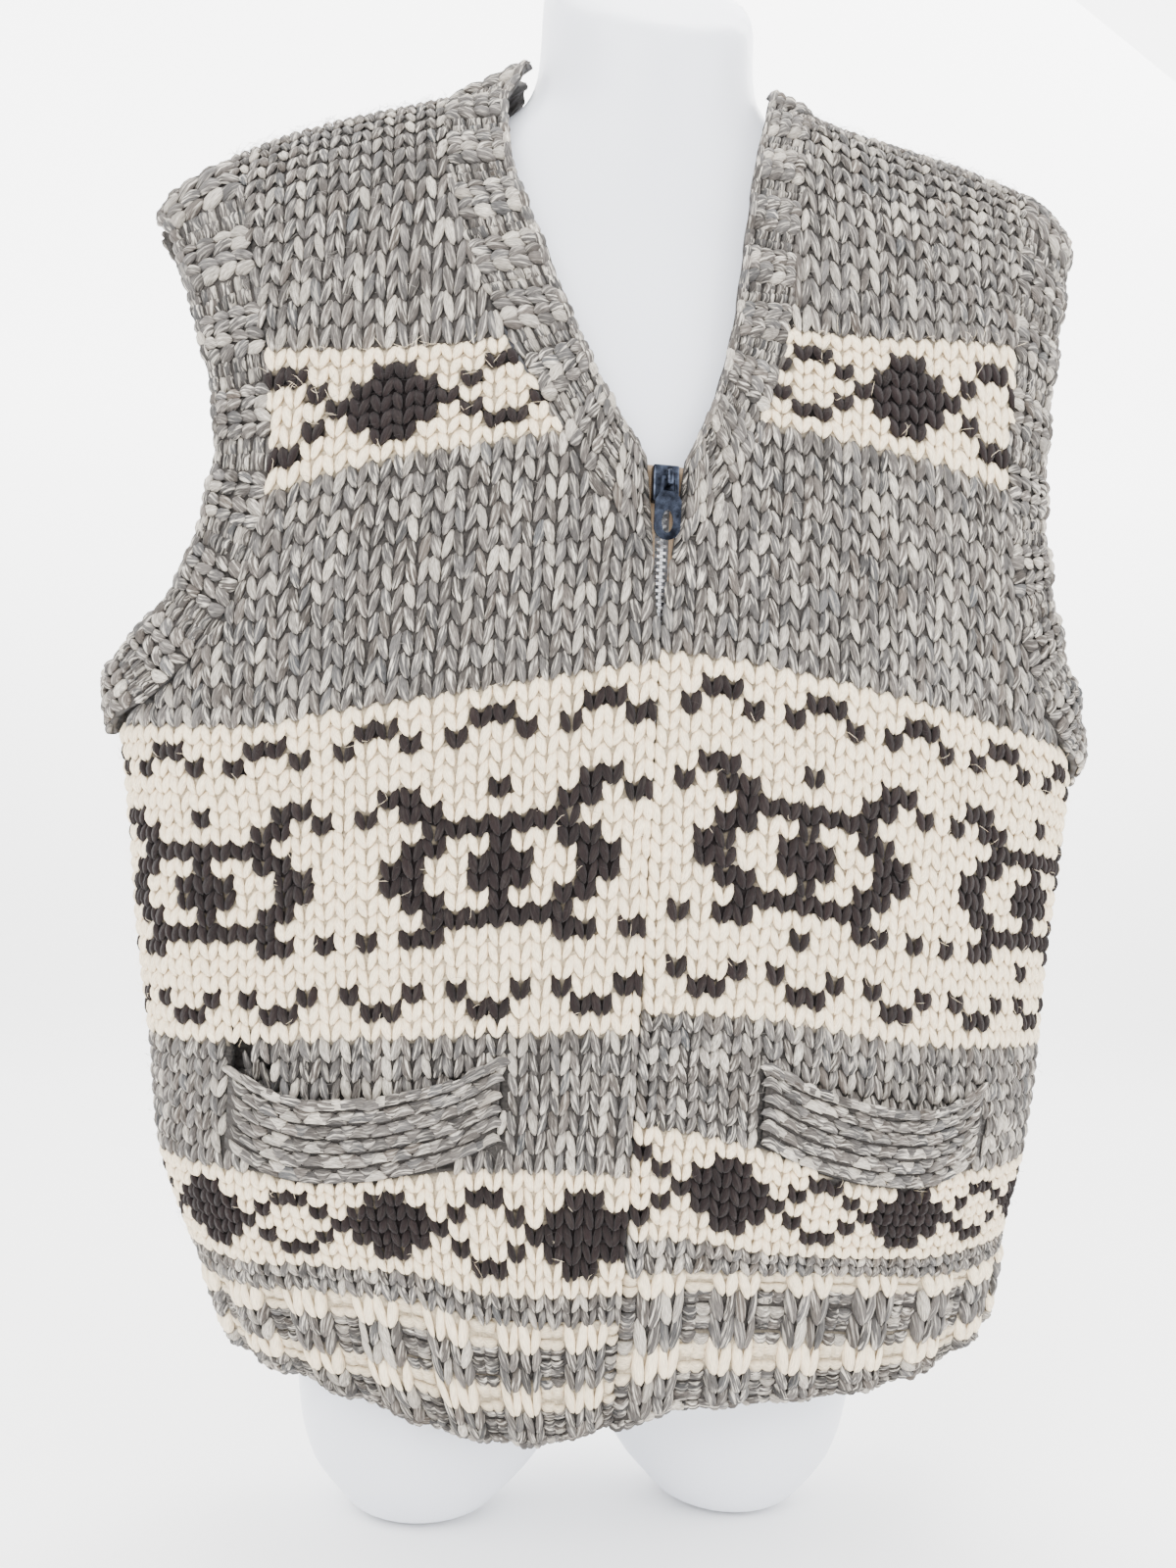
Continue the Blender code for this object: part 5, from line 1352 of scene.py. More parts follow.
@dataclass
class Vest:
    """All the cloth of the vest."""

    finishes: Wardrobe

    def build(self) -> None:
        """Make the panels, ribs, borders and pockets."""
        self.fronts()
        self.back()
        self.ribs()
        self.armbands()
        self.neckbands()
        self.pockets()

    def fronts(self) -> None:
        """The two fronts, each a ground with the pocket's mouth cut in it, and its stitches."""
        for number, side in enumerate(Side):
            panel = Panel(side, Face.FRONT, 11 + number)
            ground = face_out(build_mesh(f"front_{side.word}_ground", panel.ground_parts()))
            self.cut_mouth(ground, panel)
            dress(ground, self.finishes.ground, replaced=(f"front_{side.word}",))
            knit = build_mesh(f"front_{side.word}_stitches", panel.stitches())
            dress(knit, self.finishes.body)

    def cut_mouth(self, ground: bpy.types.Object, panel: Panel) -> None:
        """Cut the pocket's mouth and the place of its border through a front's ground."""
        surface = panel.patch.surface
        x = np.linspace(MOUTH_START, MOUTH_END, 25)
        lip = lip_height(x)
        z = np.stack([lip - 0.0364, lip - 0.001 + panel.hole(x)])
        x = np.repeat(x[None, :], 2, axis=0)
        reach = 0.012
        # Painted shade: the cutter carries the grey yarn times MOUTH_SHADE onto the walls that it
        # cuts.
        grey = np.broadcast_to(GREY_DYE * MOUTH_SHADE, x.shape + (3,))
        cutter = face_out(build_mesh("mouth_cutter", wall_parts(
            surface.point(x, z, reach), surface.point(x, z, -reach),
            grey, np.zeros_like(x), np.stack([x, z], axis=-1))))
        combine(ground, cutter, "DIFFERENCE")
        self.shade_mouth_walls(ground.data)

    @staticmethod
    def shade_mouth_walls(mesh: bpy.types.Mesh) -> None:
        """Paint the cut walls of a mouth with painted shade: the grey yarn darkened to MOUTH_SHADE,
        like the shadowed cloth round them.
        """
        points = mesh_points(mesh) - ORIGIN_SHIFT
        x = np.abs(points[:, 0])
        lip = lip_height(x)
        near = (x > MOUTH_START - 0.004) & (x < MOUTH_END + 0.004)
        near &= (points[:, 2] > lip - 0.038) & (points[:, 2] < lip + 0.021)
        dye = np.empty(len(mesh.vertices) * 4, np.float32)
        mesh.attributes["yarn"].data.foreach_get("color", dye)
        dye = dye.reshape(-1, 4)
        # Painted shade: the mouth's cut walls get the grey yarn darkened to MOUTH_SHADE.
        dye[near, :3] = GREY_DYE * MOUTH_SHADE
        mesh.attributes["yarn"].data.foreach_set("color", dye.ravel())

    def back(self) -> None:
        """The back, its ground in one piece and its stitches in two halves."""
        halves = [Panel(side, Face.BACK, 21 + side.value) for side in Side]
        ground = build_mesh("back_ground", MeshParts.join([one.ground_parts() for one in halves]))
        weld(ground)
        dress(face_out(ground), self.finishes.ground, replaced=("back",))
        for half in halves:
            knit = build_mesh(f"back_{half.side.word}_stitches", half.stitches())
            dress(knit, self.finishes.body)
        self.shoulder_seams()

    def shoulder_seams(self) -> bpy.types.Object:
        """The cast-off chain along both shoulders, lying strands end to end over the ridge."""
        rng = np.random.default_rng(31)
        parts = []
        for side in Side:
            patch = PanelPatch(VestSurface(side, Face.FRONT))
            first, last = (edge[0] for edge in patch.edges(np.array([float(RIDGE_ROW)])))
            middle = np.arange(first + 0.3, last, 0.55)
            arcs = purl_arcs(middle, np.full(len(middle), RIDGE_ROW - 0.10), 0.42,
                             np.zeros(len(middle)), all_grey(len(middle)), rng, 0.0006)
            parts.append(lay_strands(patch, arcs, PITCH, rng))
        knit = build_mesh("shoulder_seams", MeshParts.join(parts))
        return dress(knit, self.finishes.body)

    def ribs(self) -> None:
        """The ribbed hem: two knit stitches stand out beside two purl ones, all round."""
        for face, sides in ((Face.FRONT, (Side.RIGHT,)), (Face.FRONT, (Side.LEFT,)),
                            (Face.BACK, (Side.RIGHT, Side.LEFT))):
            name = "hem_rib_back" if face is Face.BACK else f"hem_rib_front_{sides[0].word}"
            grounds, yarns = [], []
            for side in sides:
                ground, yarn = self.rib_quarter(side, face)
                grounds.append(ground)
                yarns.append(yarn)
            self.piece(name, MeshParts.join(grounds), MeshParts.join(yarns),
                       welded=True)

    def rib_quarter(self, side: Side, face: Face) -> tuple[MeshParts, MeshParts]:
        """Ground and strands of a quarter of the hem."""
        rng = np.random.default_rng(41 + side.value + 5 * (face is Face.BACK))
        patch = PanelPatch(VestSurface(side, face), relief=True)
        rows = np.linspace(0.0, RIB_ROWS - 0.04, 17)
        first = 0.06 if face is Face.FRONT else 0.0
        stitch = np.repeat(np.linspace(first, STITCHES, 4 * STITCHES + 1)[None], len(rows), axis=0)
        row = np.repeat(rows[:, None], stitch.shape[1], axis=1)
        kind = CHART.yarns(np.floor(stitch).astype(int), np.floor(row).astype(int), patch.surface)
        ground = wall_parts(
            patch.at(stitch, row, BORDER_OUT),
            patch.at(stitch, row, -WALL - rib_swell(stitch, row)),
            YARN_COLOURS[kind] * RIB_SHADE, YARN_MARLS[kind],
            np.stack([stitch, row], axis=-1) * PITCH)
        number, line = np.meshgrid(np.arange(STITCHES), np.arange(RIB_ROWS))
        number, line = number.ravel(), line.ravel()
        kind = CHART.yarns(number, line, patch.surface)
        strands = rib_strands(number, line, kind, rng)
        strands.foot[:, 1] = np.maximum(strands.foot[:, 1], 0.10)
        edge = np.arange(0.4, STITCHES, 0.5)
        chain = purl_arcs(edge, rng.normal(0.05, 0.03, len(edge)), 0.46,
                          rng.normal(0.0, 0.0008, len(edge)), all_grey(len(edge)), rng,
                          0.0, 0.0026)
        return ground, lay_strands(patch, Strands.join([strands, chain]), RIB_PITCH, rng)

    def band(self, patch: BandPatch, seed: int, width: float) -> tuple:
        """Ground grids and strands of one stretch of border.

        The rib's stitches run out from the panel's edge, and a cast-off chain of long strands
        lies along the opening's edge.

        Args:
            patch: The border's cloth.
            seed: Seed of the hand's unevenness.
            width: The border's mean width.

        Returns:
            Outer points, inner points, the fibre map and the strands.
        """
        rng = np.random.default_rng(seed)
        count = patch.stitches()
        step = patch.run()[-1] / count
        along = np.linspace(0.0, count, 2 * count + 1)
        across = np.linspace(0.0, patch.rows, 9)
        v, u = np.meshgrid(across, along)
        outer = patch.at(u, v, BORDER_OUT)
        inner = patch.at(u, v, -WALL)
        fibre = np.stack([u * step, v * width / patch.rows], axis=-1)
        stitch, row = np.meshgrid(np.arange(count), np.arange(patch.rows))
        rib = rib_strands(stitch.ravel(), row.ravel(), all_grey(stitch.size), rng)
        for ends in (rib.foot, rib.head):
            ends[:, 1] = np.clip(ends[:, 1], -0.15, patch.rows - 0.12)
        spots = np.arange(0.35, count - 0.2, 0.0074 / step)
        chain = purl_arcs(spots, patch.rows - 0.30 + rng.normal(0.0, 0.03, len(spots)),
                          0.0062 / step, rng.normal(0.0003, 0.0003, len(spots)),
                          all_grey(len(spots)), rng, 0.0006, 0.0023)
        yarn = lay_strands(patch, Strands.join([rib, chain]), (step, width / patch.rows), rng)
        return outer, inner, fibre, yarn

    def armbands(self) -> None:
        """The borders round the armholes, each a closed ring."""
        for side in Side:
            grids, yarns = [], []
            for face in Face:
                surface = VestSurface(side, face)
                patch = BandPatch(surface, armhole_line(surface, "panel"),
                                  armhole_line(surface, "edge"), 0.038, UNDERARM_LIFT)
                outer, inner, fibre, yarn = self.band(patch, 51 + side.value, 0.029)
                grids.append((outer, inner, fibre))
                yarns.append(yarn)
            yarns.append(self.bridge(grids[0][0][-1], grids[1][0][-1], 46 + side.value))
            ring = [np.concatenate([front[:-1], back[::-1][:-1]])
                    for front, back in zip(*grids)]
            self.piece(f"armband_{side.word}", grey_wall(*ring, BORDER_SHADE, True),
                       MeshParts.join(yarns))

    @staticmethod
    def bridge(front: np.ndarray, back: np.ndarray, seed: int) -> MeshParts:
        """Strands of a border's rib over the shoulder, between its two ends.

        Args:
            front: Points across the end of the border's front.
            back: Points across the end of its back.
            seed: Seed of the hand's unevenness.

        Returns:
            The strands' vertices and faces.
        """
        rng = np.random.default_rng(seed)
        gap = float(np.linalg.norm(back.mean(axis=0) - front.mean(axis=0)))
        width = float(np.linalg.norm(front[-1] - front[0]))
        count = max(1, round(gap / 0.0085))
        patch = BridgePatch(front, back, count)
        stitch, row = np.meshgrid(np.arange(count), np.arange(patch.rows))
        rib = rib_strands(stitch.ravel() + 1, row.ravel(), all_grey(stitch.size), rng)
        for ends in (rib.foot, rib.head):
            ends[:, 0] -= 1.0
            ends[:, 1] = np.clip(ends[:, 1], -0.15, patch.rows - 0.12)
        spots = np.arange(0.3, count, 0.8)
        chain = purl_arcs(spots, np.full(len(spots), patch.rows - 0.30), 0.7,
                          np.zeros(len(spots)), all_grey(len(spots)), rng, 0.0006, 0.0023)
        pitch = (gap / count, width / patch.rows)
        return lay_strands(patch, Strands.join([rib, chain]), pitch, rng)

    def piece(self, name: str, ground: MeshParts, yarn: MeshParts,
              welded: bool = False) -> None:
        """Make a border's ground and strands.

        Args:
            name: The node that the border stands for.
            ground: The thin cloth under the strands.
            yarn: The strands.
            welded: Whether the ground's parts are merged first.
        """
        made = build_mesh(name + "_ground", ground)
        if welded:
            weld(made)
        dress(face_out(made), self.finishes.ground, replaced=(name,))
        knit = build_mesh(name + "_stitches", yarn)
        dress(knit, self.finishes.border)

    def neckbands(self) -> None:
        """The borders down the V and round the back of the neck."""
        share = np.linspace(0.0, 1.0, 19)
        table = np.linspace(0.0, 1.0, len(NECK["right_panel_z"]))
        for side in Side:
            surface = VestSurface(side, Face.FRONT)
            line = {}
            for word in ("panel", "edge"):
                x = smooth(table, NECK[f"{side.word}_{word}_x"], share)
                z = smooth(table, NECK[f"{side.word}_{word}_z"], share)
                line[word] = (x, z)
            line["panel"][1][-1] = surface.ridge_height(line["panel"][0][-1])
            patch = BandPatch(surface, line["panel"], line["edge"], 0.030)
            outer, inner, fibre, yarn = self.band(patch, 61 + side.value, 0.028)
            self.piece(f"neckband_{side.word}", grey_wall(outer, inner, fibre, BORDER_SHADE),
                       yarn)
        grids, yarns = [], []
        for side in Side:
            patch = self.back_neck_patch(VestSurface(side, Face.BACK))
            outer, inner, fibre, yarn = self.band(patch, 71 + side.value, 0.028)
            grids.append((outer, inner, fibre))
            yarns.append(yarn)
        rows = [np.concatenate([right[::-1], left[1:]]) for right, left in zip(*grids)]
        self.piece("neckband_back", grey_wall(*rows, BORDER_SHADE), MeshParts.join(yarns))

    @staticmethod
    def back_neck_patch(surface: VestSurface) -> BandPatch:
        """Half of the border round the back of the neck, from the middle to the shoulder."""
        word = surface.side.word
        turn = np.linspace(0.0, 1.0, 13)
        panel_x = NECK[word + "_panel_x"][-1] * turn
        panel_z = surface.top_height(panel_x)
        edge_z = BACK_NECK_EDGE_Z + (NECK[word + "_edge_z"][-1] - BACK_NECK_EDGE_Z) * turn**2
        edge_x = NECK[word + "_edge_x"][-1] * np.sin(turn * math.pi / 2) ** 1.1
        return BandPatch(surface, (panel_x, panel_z), (edge_x, edge_z), 0.030)

    def pockets(self) -> None:
        """The bumpy borders at the pockets' mouths and the pouches behind them."""
        for side in Side:
            surface = VestSurface(side, Face.FRONT)
            self.welt(side, MouthPatch(surface, lean=0.0046))
            self.pouch(side, surface)

    def welt(self, side: Side, patch: MouthPatch) -> None:
        """A pocket's border: lines of lying arcs below a rolled lip."""
        rng = np.random.default_rng(81 + side.value)
        first, last, height = MOUTH_START + SEAM, MOUTH_END - SEAM, WELT_HEIGHT
        u, v = np.meshgrid(np.linspace(first, last, 40), np.linspace(-height, 0.0, 14))
        ground = grey_wall(patch.at(u, v, 0.0006), patch.at(u, v, -WALL),
                           np.stack([u, v], axis=-1), BORDER_SHADE)
        groups = []
        for line in range(11):
            shift = 0.5 * (line % 2)
            spots = first + (np.arange(0.3 + shift, 12.6, 1.0)) * 0.0094
            spots = spots + rng.normal(0.0, 0.0005, len(spots))
            spots = spots[spots < last - 0.003]
            up = -height + 0.0010 + line * 0.0033 + 0.0012 * (line % 2)
            up = up + rng.normal(0.0, 0.0003, len(spots))
            frown = line % 2 == 0
            bow = rng.normal(0.0024 if frown else -0.0012, 0.0003, len(spots))
            half, lift = (0.0052, 0.0013) if frown else (0.0046, 0.0009)
            groups.append(purl_arcs(spots, up, half, bow, all_grey(len(spots)), rng, lift, 0.0026))
        chain = np.arange(first + 0.003, last - 0.002, 0.0085)
        groups.append(purl_arcs(chain, rng.normal(-0.0006, 0.0005, len(chain)), 0.0072,
                                rng.normal(0.0006, 0.0003, len(chain)),
                                all_grey(len(chain)), rng, 0.0014, 0.0026))
        yarn = lay_strands(patch, Strands.join(groups), METRES, rng)
        self.piece(f"pocket_welt_{side.word}", ground, yarn)

    def pouch(self, side: Side, surface: VestSurface) -> None:
        """The pouch behind a mouth: a dish that bellies in from its rim, knitted at its top."""
        rng = np.random.default_rng(91 + side.value)
        across, up = np.linspace(0.0, 1.0, 41), np.linspace(0.0, 1.0, 33)
        inner_x, outer_x = MOUTH_START - 0.006, MOUTH_END + 0.006
        x = np.repeat((inner_x + (outer_x - inner_x) * across)[None], len(up), axis=0)
        top = lip_height(x) + 0.016
        z = 0.122 + (top - 0.122) * up[:, None]
        rim = np.minimum(np.minimum(across, 1 - across)[None], np.minimum(up, 1 - up)[:, None])
        depth = WALL + 0.0005 + 0.0022 * (x / outer_x) ** 4 + 0.012 * np.clip(rim / 0.125, 0, 1)
        # Painted shade: the pouch's cloth is the grey yarn times 0.8, for the dark inside the
        # pocket.
        cloth = grey_wall(surface.point(x, z, -depth), surface.point(x, z, -depth - 0.0018),
                          np.stack([x, z], axis=-1), 0.8)
        patch = MouthPatch(surface, sink=0.0085)
        stitch, row = np.meshgrid(np.arange(12), np.arange(5))
        stitch, row = stitch.ravel(), row.ravel()
        legs = knit_legs(stitch, row, 0.0, all_grey(len(stitch)), rng)
        for ends in (legs.foot, legs.head):
            ends[:, 0] = MOUTH_START + 0.0012 + ends[:, 0] * 0.0096
            ends[:, 1] = 0.0135 - ROW_HEIGHT * (4.6 - ends[:, 1])
        legs = legs.keep(legs.head[:, 1] < 0.0155)
        name = f"pocket_lining_{side.word}"
        made = face_out(build_mesh(name + "_cloth", cloth))
        dress(made, self.finishes.ground, replaced=(name,))
        knit = build_mesh(name + "_stitches", lay_strands(patch, legs, METRES, rng))
        dress(knit, self.finishes.body)


def mesh_points(mesh: bpy.types.Mesh) -> np.ndarray:
    """A mesh's vertices, one row of three for each."""
    points = np.empty(len(mesh.vertices) * 3, np.float32)
    mesh.vertices.foreach_get("co", points)
    return points.reshape(-1, 3)


def combine(made: bpy.types.Object, other: bpy.types.Object, operation: str) -> None:
    """Cut another closed mesh out of an object's, or join it on, and drop the other."""
    change = made.modifiers.new("combine", "BOOLEAN")
    change.operation = operation
    change.solver = "EXACT"
    change.object = other
    settle(made)
    bpy.data.objects.remove(other)


def weld(made: bpy.types.Object, distance: float = 0.00005) -> None:
    """Merge points that lie together, and drop the faces left inside where two walls met."""
    work = bmesh.new()
    work.from_mesh(made.data)
    bmesh.ops.remove_doubles(work, verts=work.verts, dist=distance)
    inside = [face for face in work.faces if all(len(edge.link_faces) > 2 for edge in face.edges)]
    bmesh.ops.delete(work, geom=inside, context="FACES_ONLY")
    doubled = [face for face in work.faces
               if sum(len(edge.link_faces) > 2 for edge in face.edges) >= 2]
    bmesh.ops.delete(work, geom=doubled, context="FACES_ONLY")
    work.to_mesh(made.data)
    work.free()


@dataclass
class Zip:
    """The zip: two woven tapes, two rows of moulded teeth, the slider and its pull tab."""

    finishes: Wardrobe
    pitch: float = 0.0031
    tooth: tuple = (0.0034, 0.0015, 0.0024)
    bottom: float = 0.064
    top: float = 0.4885
    behind: float = 0.0028

    def build(self) -> None:
        """Make the tapes and teeth, and finish the slider and the pull."""
        for side in Side:
            self.tape(side)
            self.teeth(side)
        for name in ("zip_slider", "zip_pull"):
            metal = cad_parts[name]
            metal.data.materials.clear()
            metal.data.materials.append(self.finishes.slider)
            LOG.info("%s: metal", name)

    def tape(self, side: Side) -> None:
        """A woven tape behind a front's edge."""
        surface = VestSurface(side, Face.FRONT)
        z = np.linspace(0.062, 0.496, 120)
        x = np.linspace(0.0032, 0.0165, 7)
        grid_x, grid_z = np.meshgrid(x, z)
        outer = surface.point(grid_x, grid_z, -WALL - 0.0004)
        inner = surface.point(grid_x, grid_z, -WALL - 0.0012)
        parts = wall_parts(outer, inner, np.ones(outer.shape), np.zeros_like(grid_x),
                           np.stack([grid_x, grid_z], axis=-1))
        made = face_out(build_mesh(f"zip_tape_{side.word}_weave", parts))
        dress(made, self.finishes.tape, replaced=(f"zip_tape_{side.word}",))

    def teeth(self, side: Side) -> None:
        """A row of teeth: rounded blocks at an even pitch, the two rows half a pitch apart."""
        surface = VestSurface(side, Face.FRONT)
        shift = 0.5 if side is Side.LEFT else 0.0
        z = np.arange(self.bottom + shift * self.pitch, self.top - self.pitch / 2, self.pitch)
        corner = np.array([[-1, -1], [1, -1], [1, 1], [-1, 1]]) * 0.5
        layers = np.array([(-0.5, 0.80), (-0.32, 1.0), (0.32, 1.0), (0.5, 0.80)])
        across = (corner[None, :, 0] * layers[:, 1:2] * self.tooth[0]).ravel()
        up = (corner[None, :, 1] * layers[:, 1:2] * self.tooth[1]).ravel()
        out = np.repeat(layers[:, 0], 4) * self.tooth[2]
        x = 0.0002 + self.tooth[0] / 2 - 0.0012 + across[None, :] + np.zeros((len(z), 1))
        heights = z[:, None] + up[None, :]
        depth = -(WALL + 0.0016) + out[None, :] + np.zeros((len(z), 1))
        points = surface.point(x.ravel(), heights.ravel(), depth.ravel())
        faces = [[a, b, b + 4, a + 4] for k in range(3)
                 for a, b in ((4 * k + i, 4 * k + (i + 1) % 4) for i in range(4))]
        faces += [[3, 2, 1, 0], [12, 13, 14, 15]]
        faces = (np.array(faces)[None] + 16 * np.arange(len(z))[:, None, None]).reshape(-1, 4)
        count = len(points)
        parts = MeshParts(points, faces, np.ones((count, 3)), np.zeros(count), np.zeros((count, 2)))
        made = face_out(build_mesh(f"zip_teeth_{side.word}_row", parts))
        made.data.shade_flat()
        dress(made, self.finishes.teeth, replaced=(f"zip_teeth_{side.word}",))


@dataclass
class TorsoForm:
    """The limbless white torso form with its neck and two thigh stubs."""

    finishes: Wardrobe
    around: int = 160
    voxel: float = 0.0062
    neck_radius: float = 0.0545
    neck_y: float = 0.006
    neck_front: float = 0.7075
    neck_back: float = 0.800
    neck_foot: float = 0.694
    blend: float = 12.0
    sizes: dict = field(default_factory=lambda: {
        "z": (0.058, 0.062, 0.070, 0.090, 0.130, 0.200, 0.270, 0.330, 0.400, 0.460, 0.520, 0.580,
              0.620, 0.640, 0.655, 0.668, 0.678, 0.688, 0.698, 0.710, 0.740, 0.820),
        "half": (0.094, 0.116, 0.128, 0.140, 0.148, 0.145, 0.128, 0.132, 0.145, 0.150, 0.160,
                 0.168, 0.168, 0.160, 0.145, 0.120, 0.094, 0.070, 0.058, 0.050, 0.030, 0.020),
        "front": (0.046, 0.058, 0.064, 0.068, 0.068, 0.064, 0.062, 0.070, 0.084, 0.084, 0.078,
                  0.066, 0.054, 0.048, 0.043, 0.038, 0.034, 0.029, 0.023, 0.018, 0.010, 0.008),
        "back": (0.044, 0.056, 0.062, 0.067, 0.071, 0.067, 0.060, 0.062, 0.070, 0.074, 0.077,
                 0.0775, 0.0770, 0.0758, 0.0738, 0.0705, 0.065, 0.058, 0.050, 0.036, 0.020, 0.010),
    })
    stub: dict = field(default_factory=lambda: {
        "z": (-0.010, -0.006, 0.001, 0.018, 0.044, 0.080, 0.110),
        "inner": (0.050, 0.043, 0.037, 0.021, 0.008, 0.003, 0.003),
        "outer": (0.110, 0.114, 0.119, 0.133, 0.140, 0.143, 0.141),
        "depth": (0.026, 0.034, 0.041, 0.049, 0.0545, 0.0535, 0.049),
    })

    def radius(self, dx: np.ndarray, dy: np.ndarray, z: np.ndarray) -> np.ndarray:
        """Distance of the skin from the axis: torso and neck blended by a high power mean."""
        half = smooth(self.sizes["z"], self.sizes["half"], z)
        front = smooth(self.sizes["z"], self.sizes["front"], z)
        back = smooth(self.sizes["z"], self.sizes["back"], z)
        depth = np.where(dy < 0, front, back)
        torso = ((np.abs(dx) / half) ** SQUARENESS
                 + (np.abs(dy) / depth) ** SQUARENESS) ** (-1 / SQUARENESS)
        lean = dy * self.neck_y
        neck = lean + np.sqrt(self.neck_radius**2 - self.neck_y**2 + lean**2)
        neck = neck * np.clip((z - 0.30) / 0.30, 0.05, 1.0)
        return (torso**self.blend + neck**self.blend) ** (1 / self.blend)

    def ring(self, front_z: float, back_z: float) -> np.ndarray:
        """One ring of the skin, level or rising from front to back, with the shoulder let down."""
        angle = np.arange(self.around) / self.around * 2 * math.pi
        dx, dy = np.sin(angle), -np.cos(angle)
        z = np.full(self.around, front_z)
        for _ in range(6):
            radius = self.radius(dx, dy, z)
            rise = (radius * dy + self.neck_radius) / (2 * self.neck_radius)
            z = front_z + (back_z - front_z) * np.clip(rise, 0.0, 1.1)
        x = radius * dx
        return np.stack([x, radius * dy, z - droop(x, z)], axis=-1) + ORIGIN_SHIFT

    def stack(self, name: str, rings: np.ndarray) -> bpy.types.Object:
        """A closed skin through rings of equal count, with flat ends."""
        levels, around = rings.shape[:2]
        top = (levels - 1) * around
        ends = [list(range(around))[::-1], list(range(top, top + around))]
        mesh = bpy.data.meshes.new(name)
        faces = ring_quads(levels, around).tolist() + ends
        mesh.from_pydata(rings.reshape(-1, 3).tolist(), [], faces)
        return face_out(new_object(name, mesh))

    def build(self) -> None:
        """Stack the torso and the stubs, join them in one skin of small cells and smooth it."""
        foot = self.neck_foot
        levels = np.concatenate([np.linspace(0.058, 0.640, 100), np.linspace(0.644, foot, 20)])
        rings = [self.ring(z, z) for z in levels]
        for step in np.linspace(0.0, 1.0, 20)[1:]:
            rings.append(self.ring(foot + (self.neck_front - foot) * step,
                                   foot + (self.neck_back - foot) * step))
        torso = self.stack("form_body_skin", np.array(rings))
        for side in Side:
            combine(torso, self.stack("form_stub", self.stub_rings(side)), "UNION")
        heights = mesh_points(torso.data)[:, 2]
        highest, lowest = float(heights.max()), float(heights.min())
        remesh = torso.modifiers.new("skin", "REMESH")
        remesh.mode = "VOXEL"
        remesh.voxel_size = self.voxel
        relax = torso.modifiers.new("relax", "SMOOTH")
        relax.factor = 0.5
        relax.iterations = 5
        settle(torso)
        points = mesh_points(torso.data)
        points[:, 2] = np.clip(points[:, 2], lowest, highest)
        torso.data.vertices.foreach_set("co", points.ravel())
        torso.data.shade_smooth()
        dress(torso, self.finishes.plastic, replaced=("form_body",))

    def stub_rings(self, side: Side) -> np.ndarray:
        """Rings of a thigh stub: ellipses between its inner and outer lines, rounded below."""
        z = np.concatenate([np.linspace(-0.010, 0.020, 12), np.linspace(0.025, 0.110, 18)])
        inner, outer = (smooth(self.stub["z"], self.stub[name], z) for name in ("inner", "outer"))
        depth = smooth(self.stub["z"], self.stub["depth"], z)
        angle = np.arange(96) / 96 * 2 * math.pi
        x = side.value * (inner + outer)[:, None] / 2 + (outer - inner)[:, None] / 2 * np.cos(angle)
        y = depth[:, None] * np.sin(angle)
        return np.stack([x, y, np.repeat(z[:, None], 96, axis=1)], axis=-1) + ORIGIN_SHIFT


def settle(made: bpy.types.Object) -> None:
    """Apply an object's modifiers to its mesh."""
    graph = bpy.context.evaluated_depsgraph_get()
    graph.update()
    mesh = bpy.data.meshes.new_from_object(made.evaluated_get(graph))
    made.modifiers.clear()
    made.data = mesh


@dataclass
class Fuzz:
    """Loose fibres that stand off the wool: thin curved hairs, thickest on the shoulders."""

    finishes: Wardrobe
    count: int = 1250

    def build(self) -> None:
        """Scatter the hairs over the panels."""
        rng = np.random.default_rng(101)
        parts = []
        for face in Face:
            for side in Side:
                patch = PanelPatch(VestSurface(side, face))
                row = np.concatenate([rng.uniform(7, 74, self.count), rng.uniform(56, 75, 450)])
                first, last = patch.edges(row)
                stitch = first + (last - first) * rng.uniform(0.0, 1.0, len(row))
                whole = np.clip(stitch, 0, STITCHES - 1).astype(int)
                kind = CHART.yarns(whole, row.astype(int), patch.surface)
                parts.append(self.hairs(patch, stitch, row, kind, rng))
        made = build_mesh("wool_fuzz", MeshParts.join(parts))
        dress(made, self.finishes.body)

    def hairs(self, patch: Patch, u: np.ndarray, v: np.ndarray, kind: np.ndarray,
              rng: np.random.Generator) -> MeshParts:
        """Hairs from places on a patch, each drifting off it to a random side."""
        count = len(u)
        turn = rng.uniform(0.0, 2 * math.pi, count)
        reach = rng.uniform(0.3, 0.9, count)
        foot = np.stack([u, v], axis=1)
        head = foot + np.stack([np.cos(turn) * reach, np.sin(turn) * reach], axis=1)
        head[:, 1] = np.minimum(head[:, 1], RIDGE_ROW)
        # Painted highlight: the hairs are a quarter lighter than their yarn, for the bright halo of
        # loose fibres.
        colour = YARN_COLOURS[kind] * 1.25 + 0.02
        lift = np.stack([np.full(count, 0.0020), rng.uniform(0.0035, 0.0062, count),
                         rng.uniform(0.0, 0.0020, count)], axis=1)
        strands = Strands(foot, head, np.full(count, 0.00009), np.full(count, 0.00007), lift,
                          rng.normal(0.0, 0.0012, count), colour, YARN_MARLS[kind] * 0.3)
        return lay_strands(patch, strands, PITCH, rng, rings=2, sides=3)


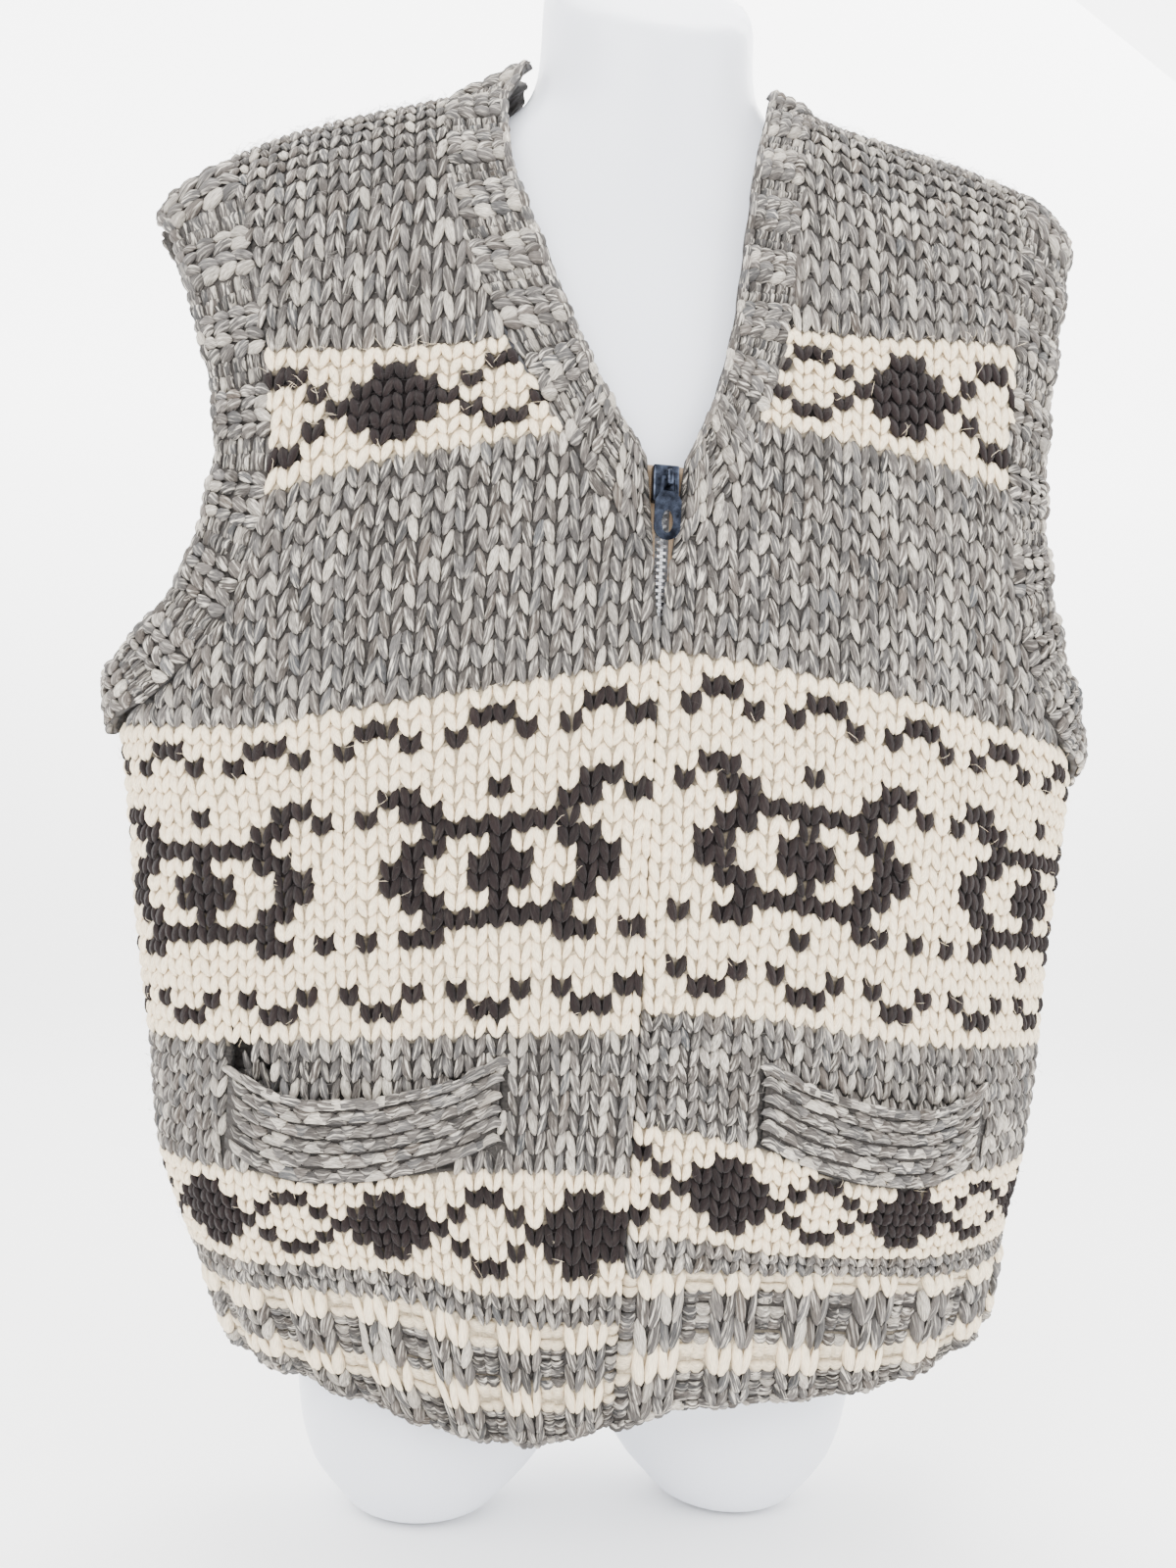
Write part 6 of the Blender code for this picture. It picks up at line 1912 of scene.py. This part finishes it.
@dataclass
class Studio:
    """The floor, the backdrop, soft lights and a camera at the photograph's angle."""

    finishes: Wardrobe
    camera_at: tuple = (-0.1412, -0.7290, 0.361)
    heading: float = 10.0
    roll: float = 3.0
    lens: float = 22.5
    film: float = 24.0
    lights: tuple = (
        ("key_light", (-1.1, -1.6, 1.9), 1.6, 78.0),
        ("fill_light", (1.5, -1.3, 1.2), 1.6, 40.0),
        ("top_light", (0.0, 0.1, 2.3), 1.4, 42.0),
        ("back_light", (0.9, 1.3, 1.9), 1.2, 40.0),
    )
    sky: float = 1.8

    def build(self) -> None:
        """Make all of it."""
        self.backdrop()
        for name, place, size, power in self.lights:
            self.light(name, place, size, power)
        world = bpy.data.worlds.new("soft_sky")
        world.use_nodes = True
        background = world.node_tree.nodes["Background"]
        background.inputs["Color"].default_value = (1.0, 1.0, 1.0, 1.0)
        background.inputs["Strength"].default_value = self.sky
        bpy.context.scene.world = world
        self.camera()

    def backdrop(self) -> None:
        """A floor that sweeps up into a wall: a flat run, a quarter round and a flat rise."""
        turn = np.linspace(0.0, math.pi / 2, 24)
        radius, wall_y, half = 0.5, 1.5, 6.0
        y = np.concatenate([[-3.5], wall_y - radius + radius * np.sin(turn), [wall_y]])
        z = np.concatenate([[0.0], radius - radius * np.cos(turn), [5.5]])
        x = np.linspace(-half, half, 2)
        points = np.stack([np.repeat(x[None], len(y), axis=0), np.repeat(y[:, None], 2, axis=1),
                           np.repeat(z[:, None], 2, axis=1)], axis=-1).reshape(-1, 3)
        low = np.arange(len(y) - 1) * 2
        faces = np.stack([low, low + 1, low + 3, low + 2], axis=-1)
        mesh = bpy.data.meshes.new("floor_sweep")
        mesh.from_pydata(points.tolist(), [], faces.tolist())
        mesh.shade_smooth()
        mesh.materials.append(self.finishes.floor)
        made = new_object("floor_sweep", mesh)

    @staticmethod
    def light(name: str, place: tuple, size: float, power: float) -> None:
        """A square soft light that faces the middle of the vest."""
        lamp = bpy.data.lights.new(name, "AREA")
        lamp.size = size
        lamp.energy = power
        made = new_object(name, lamp)
        made.visible_camera = False
        made.location = place
        aim = Vector(VEST_MIDDLE) - Vector(place)
        made.rotation_euler = aim.to_track_quat("-Z", "Y").to_euler()

    def camera(self) -> None:
        """The camera: level, turned by its heading and rolled so that the picture leans."""
        lens = bpy.data.cameras.new("photo_camera")
        lens.sensor_fit = "VERTICAL"
        lens.sensor_height = self.film
        lens.lens = self.lens
        made = new_object("photo_camera", lens)
        turn = (Matrix.Rotation(-math.radians(self.heading), 4, "Z")
                @ Matrix.Rotation(math.pi / 2, 4, "X")
                @ Matrix.Rotation(math.radians(self.roll), 4, "Z"))
        made.matrix_world = Matrix.Translation(self.camera_at) @ turn
        bpy.context.scene.camera = made


def main() -> None:
    """Build the vest, its zip and its form, and light them."""
    logging.basicConfig(level=logging.INFO, format="%(name)s: %(message)s")
    finishes = Wardrobe()
    Studio(finishes).build()
    TorsoForm(finishes).build()
    Vest(finishes).build()
    Zip(finishes).build()
    Fuzz(finishes).build()


if __name__ == "__main__":
    main()
